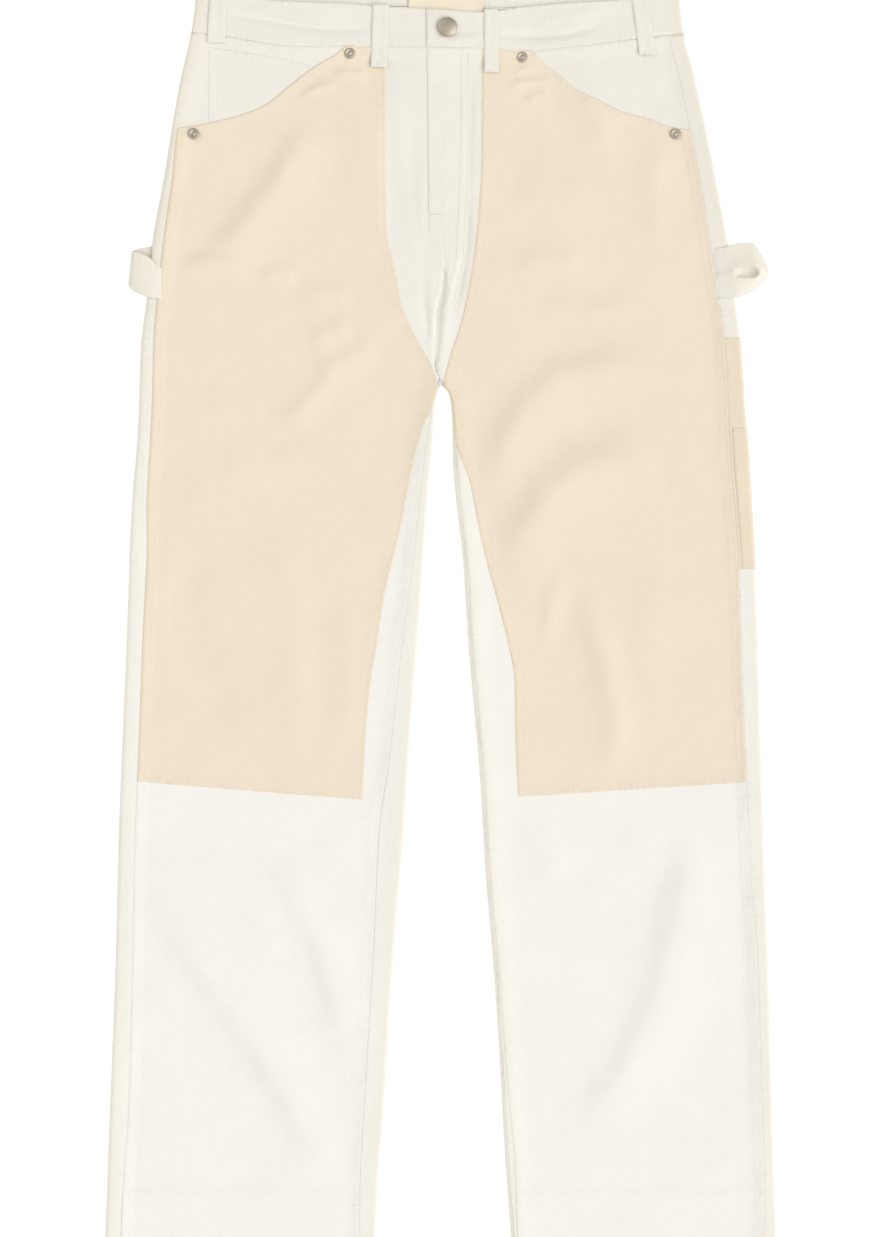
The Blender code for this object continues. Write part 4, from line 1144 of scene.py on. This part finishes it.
def turned(name, profile, x, up, z, steps):
    """A round metal piece turned from a profile of (radius, height) and set on the cloth."""
    bm = bmesh.new()
    points = [bm.verts.new((radius * MM, 0.0, height * MM)) for radius, height in profile]
    edges = [bm.edges.new(pair) for pair in zip(points, points[1:])]
    bmesh.ops.spin(bm, geom=points + edges, axis=(0, 0, 1), cent=(0, 0, 0),
                   angle=2 * math.pi, steps=steps, use_merge=True)
    bmesh.ops.remove_doubles(bm, verts=bm.verts, dist=1e-5)
    bmesh.ops.recalc_face_normals(bm, faces=bm.faces)
    bmesh.ops.translate(bm, verts=bm.verts, vec=Vector(world(x, up, z).tolist()))
    obj = finish(name + "_piece", bm, material_for("antique_metal"), name)
    obj.data.set_sharp_from_angle(angle=math.radians(50))
    return obj


MATERIALS = {}


def material_for(slot):
    """Each finish is made once, from the colours in the sidebar."""
    if slot not in MATERIALS:
        colours = bpy.context.scene.trousers_colours
        makers = {
            # The cream cloth gets painted shade toward the waist.
            "cream_canvas": lambda: canvas_material("cream_canvas_cloth", colours.cream,
                                                    waist_painted_shade=(0.945, 0.935, 0.905)),
            "beige_canvas": lambda: canvas_material("beige_canvas_cloth", colours.beige,
                                                    pucker=0.55),
            "label_cloth": lambda: canvas_material("label_weave", colours.label, weave=0.45),
            "antique_metal": lambda: metal_material("antique_metal_piece", colours.metal),
            "cream_thread": lambda: thread_material("cream_thread", colours.cream_thread),
            "beige_thread": lambda: thread_material("beige_thread", colours.beige_thread),
        }
        MATERIALS[slot] = makers[slot]()
    return MATERIALS[slot]


def colour_property(name, description, default):
    return bpy.props.FloatVectorProperty(name=name, description=description, default=default,
                                         subtype="COLOR", size=3, min=0.0, max=1.0)


class TrousersColours(bpy.types.PropertyGroup):
    cream: colour_property("Cream canvas", "Colour of the main cloth", (0.93, 0.90, 0.832))
    beige: colour_property("Beige canvas", "Colour of the double front", (0.88, 0.764, 0.604))
    label: colour_property("Label", "Colour of the blank woven label", (0.93, 0.83, 0.65))
    metal: colour_property("Metal", "Colour of the button and the rivets", (0.55, 0.49, 0.40))
    cream_thread: colour_property("Cream thread", "Thread on the cream cloth", (0.97, 0.945, 0.87))
    beige_thread: colour_property("Beige thread", "Thread on the beige cloth", (0.93, 0.84, 0.69))


class TrousersCloth(bpy.types.PropertyGroup):
    cream: bpy.props.FloatProperty(
        name="Cream cloth", description="Thickness of the cream canvas", default=CLOTH * MM,
        min=0.0005, max=0.002, subtype="DISTANCE", unit="LENGTH")
    patch: bpy.props.FloatProperty(
        name="Beige cloth", description="Thickness of the beige canvas and the small pieces",
        default=PATCH * MM, min=0.0005, max=0.002, subtype="DISTANCE", unit="LENGTH")


class TrousersSewing(bpy.types.PropertyGroup):
    pitch: bpy.props.FloatProperty(
        name="Stitch pitch", description="Distance from one stitch to the next", default=0.0032,
        min=0.002, max=0.006, subtype="DISTANCE", unit="LENGTH")
    length: bpy.props.FloatProperty(
        name="Stitch length", description="Length of the thread that shows", default=0.0025,
        min=0.001, max=0.005, subtype="DISTANCE", unit="LENGTH")
    thread: bpy.props.FloatProperty(
        name="Thread width", description="Width of the sewing thread", default=0.0006,
        min=0.0003, max=0.0015, subtype="DISTANCE", unit="LENGTH")


def panel(name, columns, rows, shape, slot, node, **options):
    cloth_sizes = bpy.context.scene.trousers_cloth
    thickness = (cloth_sizes.patch if slot == "beige_canvas" else cloth_sizes.cream) / MM
    thickness = options.pop("thickness", thickness)
    return cloth(name, columns, rows, shape, material_for(slot), thickness, slot, node, **options)


class TROUSERS_OT_backs(bpy.types.Operator):
    """Build the back of each leg, which comes round both edges to the seams"""
    bl_idname = "trousers.backs"
    bl_label = "Backs"

    def execute(self, context):
        for side in SIDES:
            panel("back_panel_" + side, 70, 200, back_shape(side), "cream_canvas", "back_" + side,
                  keep=lambda u, v: (v <= BACK_CROTCH + 1e-6) | (u <= 0.6 + 1e-6))
        return {"FINISHED"}


class TROUSERS_OT_fronts(bpy.types.Operator):
    """Build the cream fronts, cut away along the pocket mouths"""
    bl_idname = "trousers.fronts"
    bl_label = "Fronts"

    def execute(self, context):
        for side in SIDES:
            panel("front_panel_" + side, 120, 265, front_shape(side), "cream_canvas",
                  "front_" + side)
        return {"FINISHED"}


class TROUSERS_OT_double_front(bpy.types.Operator):
    """Build the beige double front over each thigh and knee"""
    bl_idname = "trousers.double_front"
    bl_label = "Double front"

    def execute(self, context):
        for side in SIDES:
            panel("knee_panel_" + side, 110, 200, knee_shape(side), "beige_canvas", "knee_" + side)
        return {"FINISHED"}


class TROUSERS_OT_pockets(bpy.types.Operator):
    """Build the pocket facings, the coin pocket and the pockets at the side seams"""
    bl_idname = "trousers.pockets"
    bl_label = "Pockets"

    def execute(self, context):
        for side in SIDES:
            panel("facing_panel_" + side, 80, 30, facing_shape(side), "cream_canvas",
                  "facing_" + side, thickness=PATCH)
        panel("coin_pocket_panel", 50, 34, coin_pocket_shape, "cream_canvas", "coin_pocket",
              thickness=PATCH)
        panel("tool_pocket_back_panel", 30, 90,
              edge_pocket_shape("right", *TOOL_POCKET_BACK, 0, -TUCK), "beige_canvas",
              "tool_pocket_back")
        panel("tool_pocket_front_panel", 30, 70,
              edge_pocket_shape("right", *TOOL_POCKET_FRONT, 1, 3.0), "beige_canvas",
              "tool_pocket_front")
        panel("side_pocket_panel", 30, 90, edge_pocket_shape("left", *SIDE_POCKET, 0, 3.5),
              "cream_canvas", "side_pocket", thickness=PATCH)
        return {"FINISHED"}


class TROUSERS_OT_waist(bpy.types.Operator):
    """Build the waistband, the fly and the blank label"""
    bl_idname = "trousers.waist"
    bl_label = "Waistband and fly"

    def execute(self, context):
        for side in SIDES:
            panel("waistband_panel_" + side, 160, 42, waistband_shape(side), "cream_canvas",
                  "waistband_" + side, thickness=BAND_THICKNESS)
        panel("fly_panel", 30, 130, fly_shape, "cream_canvas", "fly", thickness=PATCH)
        panel("label_panel", 40, 20, label_shape, "label_cloth", "label", thickness=PATCH)
        return {"FINISHED"}


class TROUSERS_OT_loops(bpy.types.Operator):
    """Build the belt loops and the hammer loops"""
    bl_idname = "trousers.loops"
    bl_label = "Loops"

    def execute(self, context):
        for name, *sizes in BELT_LOOPS:
            panel(name + "_strap", 20, 50, belt_loop_shape(*sizes), "cream_canvas", name,
                  thickness=LOOP_CLOTH - 0.3, offset=0)
        for name in HAMMER_LOOPS:
            panel(name + "_strap", 24, 110, hammer_loop_shape(name), "cream_canvas", name,
                  thickness=LOOP_CLOTH - 0.1, offset=0)
        return {"FINISHED"}


class TROUSERS_OT_metal(bpy.types.Operator):
    """Build the shank button and the rivets"""
    bl_idname = "trousers.metal"
    bl_label = "Button and rivets"

    def execute(self, context):
        for name in ("button", "rivet_left_side", "rivet_left_waist", "rivet_right_side",
                     "rivet_right_waist"):
            low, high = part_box(name)
            half = (high.x - low.x) / 2 / MM
            foot, rim, crown, steps = METAL[name.split("_")[0]]
            rim = [(half - inset, height) for inset, height in rim]
            x, y = (low.x + high.x) / 2 / MM, (low.y + high.y) / 2 / MM
            turned(name, [*foot, *rim, *crown], x, y + OVERALL / 2, low.z / MM, steps)
        return {"FINISHED"}


class TROUSERS_OT_sewing(bpy.types.Operator):
    """Sew the seams, the hems, the pocket mouths and the double front"""
    bl_idname = "trousers.sewing"
    bl_label = "Sewing"

    def execute(self, context):
        for side in SIDES:
            sew_leg(side).build("leg_stitches_" + side, "cream")
            sew_knee(side).build("knee_stitches_" + side, "beige")
            sew_waist(side).build("waist_stitches_" + side, "cream")
        sew_loops().build("loop_stitches", "cream")
        sew_pockets().build("pocket_stitches", "cream")
        sew_tool_pocket().build("tool_pocket_stitches", "beige")
        return {"FINISHED"}


def sun(name, toward, strength, spread):
    """A soft, even light from far away, coming from the direction toward."""
    light = bpy.data.lights.new(name, "SUN")
    light.energy = strength
    light.angle = math.radians(spread)
    obj = bpy.data.objects.new(name, light)
    obj.rotation_euler = Vector(toward).to_track_quat("Z", "Y").to_euler()
    bpy.context.scene.collection.objects.link(obj)


class TROUSERS_OT_stage(bpy.types.Operator):
    """Lay out the pale floor, the soft lights and the camera"""
    bl_idname = "trousers.stage"
    bl_label = "Stage"

    def execute(self, context):
        scene = context.scene
        bm = bmesh.new()
        bmesh.ops.create_grid(bm, x_segments=4, y_segments=4, size=FLOOR_HALF)
        bmesh.ops.translate(bm, verts=bm.verts, vec=(0, 0, -FLOOR_DROP))
        mesh = bpy.data.meshes.new("floor")
        bm.to_mesh(mesh)
        bm.free()
        paper = bpy.data.materials.new("white_paper")
        paper.use_nodes = True
        shader = paper.node_tree.nodes["Principled BSDF"]
        shader.inputs["Base Color"].default_value = (0.97, 0.97, 0.97, 1)
        shader.inputs["Roughness"].default_value = 1.0
        shader.inputs["Specular IOR Level"].default_value = 0.0
        shader.inputs["Emission Color"].default_value = (1, 1, 1, 1)
        shader.inputs["Emission Strength"].default_value = 0.32
        mesh.materials.append(paper)
        floor = bpy.data.objects.new("floor", mesh)
        scene.collection.objects.link(floor)

        world_light = bpy.data.worlds.new("soft_room")
        world_light.use_nodes = True
        sky = world_light.node_tree.nodes["Background"]
        sky.inputs["Color"].default_value = (1, 1, 1, 1)
        sky.inputs["Strength"].default_value = 0.5
        scene.world = world_light
        sun("key", (0.62, -0.32, 0.72), 1.76, 58)
        sun("fill", (-0.7, 0.25, 0.65), 0.55, 60)

        camera = bpy.data.cameras.new("camera")
        camera.lens, camera.sensor_width, camera.sensor_height = 85, 36, 36
        camera.sensor_fit = "VERTICAL"
        view = bpy.data.objects.new("camera", camera)
        view.location = (CAMERA_X, CAMERA_Y, CAMERA_HEIGHT)
        scene.collection.objects.link(view)
        scene.camera = view
        scene.view_settings.view_transform = "Standard"
        return {"FINISHED"}


STEPS = ("backs", "fronts", "double_front", "pockets", "waist", "loops", "metal", "sewing", "stage")


class TROUSERS_PT_panel(bpy.types.Panel):
    bl_label = "Canvas trousers"
    bl_idname = "TROUSERS_PT_panel"
    bl_space_type = "VIEW_3D"
    bl_region_type = "UI"
    bl_category = "Trousers"

    def draw(self, context):
        for name in ("trousers_colours", "trousers_cloth", "trousers_sewing"):
            group = getattr(context.scene, name)
            for field in group.bl_rna.properties.keys():
                if field not in ("rna_type", "name"):
                    self.layout.prop(group, field)
        for step in STEPS:
            self.layout.operator("trousers." + step)


GROUPS = {"trousers_colours": TrousersColours, "trousers_cloth": TrousersCloth,
          "trousers_sewing": TrousersSewing}
CLASSES = (*GROUPS.values(), TROUSERS_OT_backs, TROUSERS_OT_fronts, TROUSERS_OT_double_front,
           TROUSERS_OT_pockets, TROUSERS_OT_waist, TROUSERS_OT_loops, TROUSERS_OT_metal,
           TROUSERS_OT_sewing, TROUSERS_OT_stage, TROUSERS_PT_panel)


def register():
    for cls in CLASSES:
        bpy.utils.register_class(cls)
    for name, group in GROUPS.items():
        setattr(bpy.types.Scene, name, bpy.props.PointerProperty(type=group))


def unregister():
    for name in GROUPS:
        delattr(bpy.types.Scene, name)
    for cls in reversed(CLASSES):
        bpy.utils.unregister_class(cls)


def main():
    register()
    for step in STEPS:
        getattr(bpy.ops.trousers, step)()


if __name__ == "__main__":
    main()
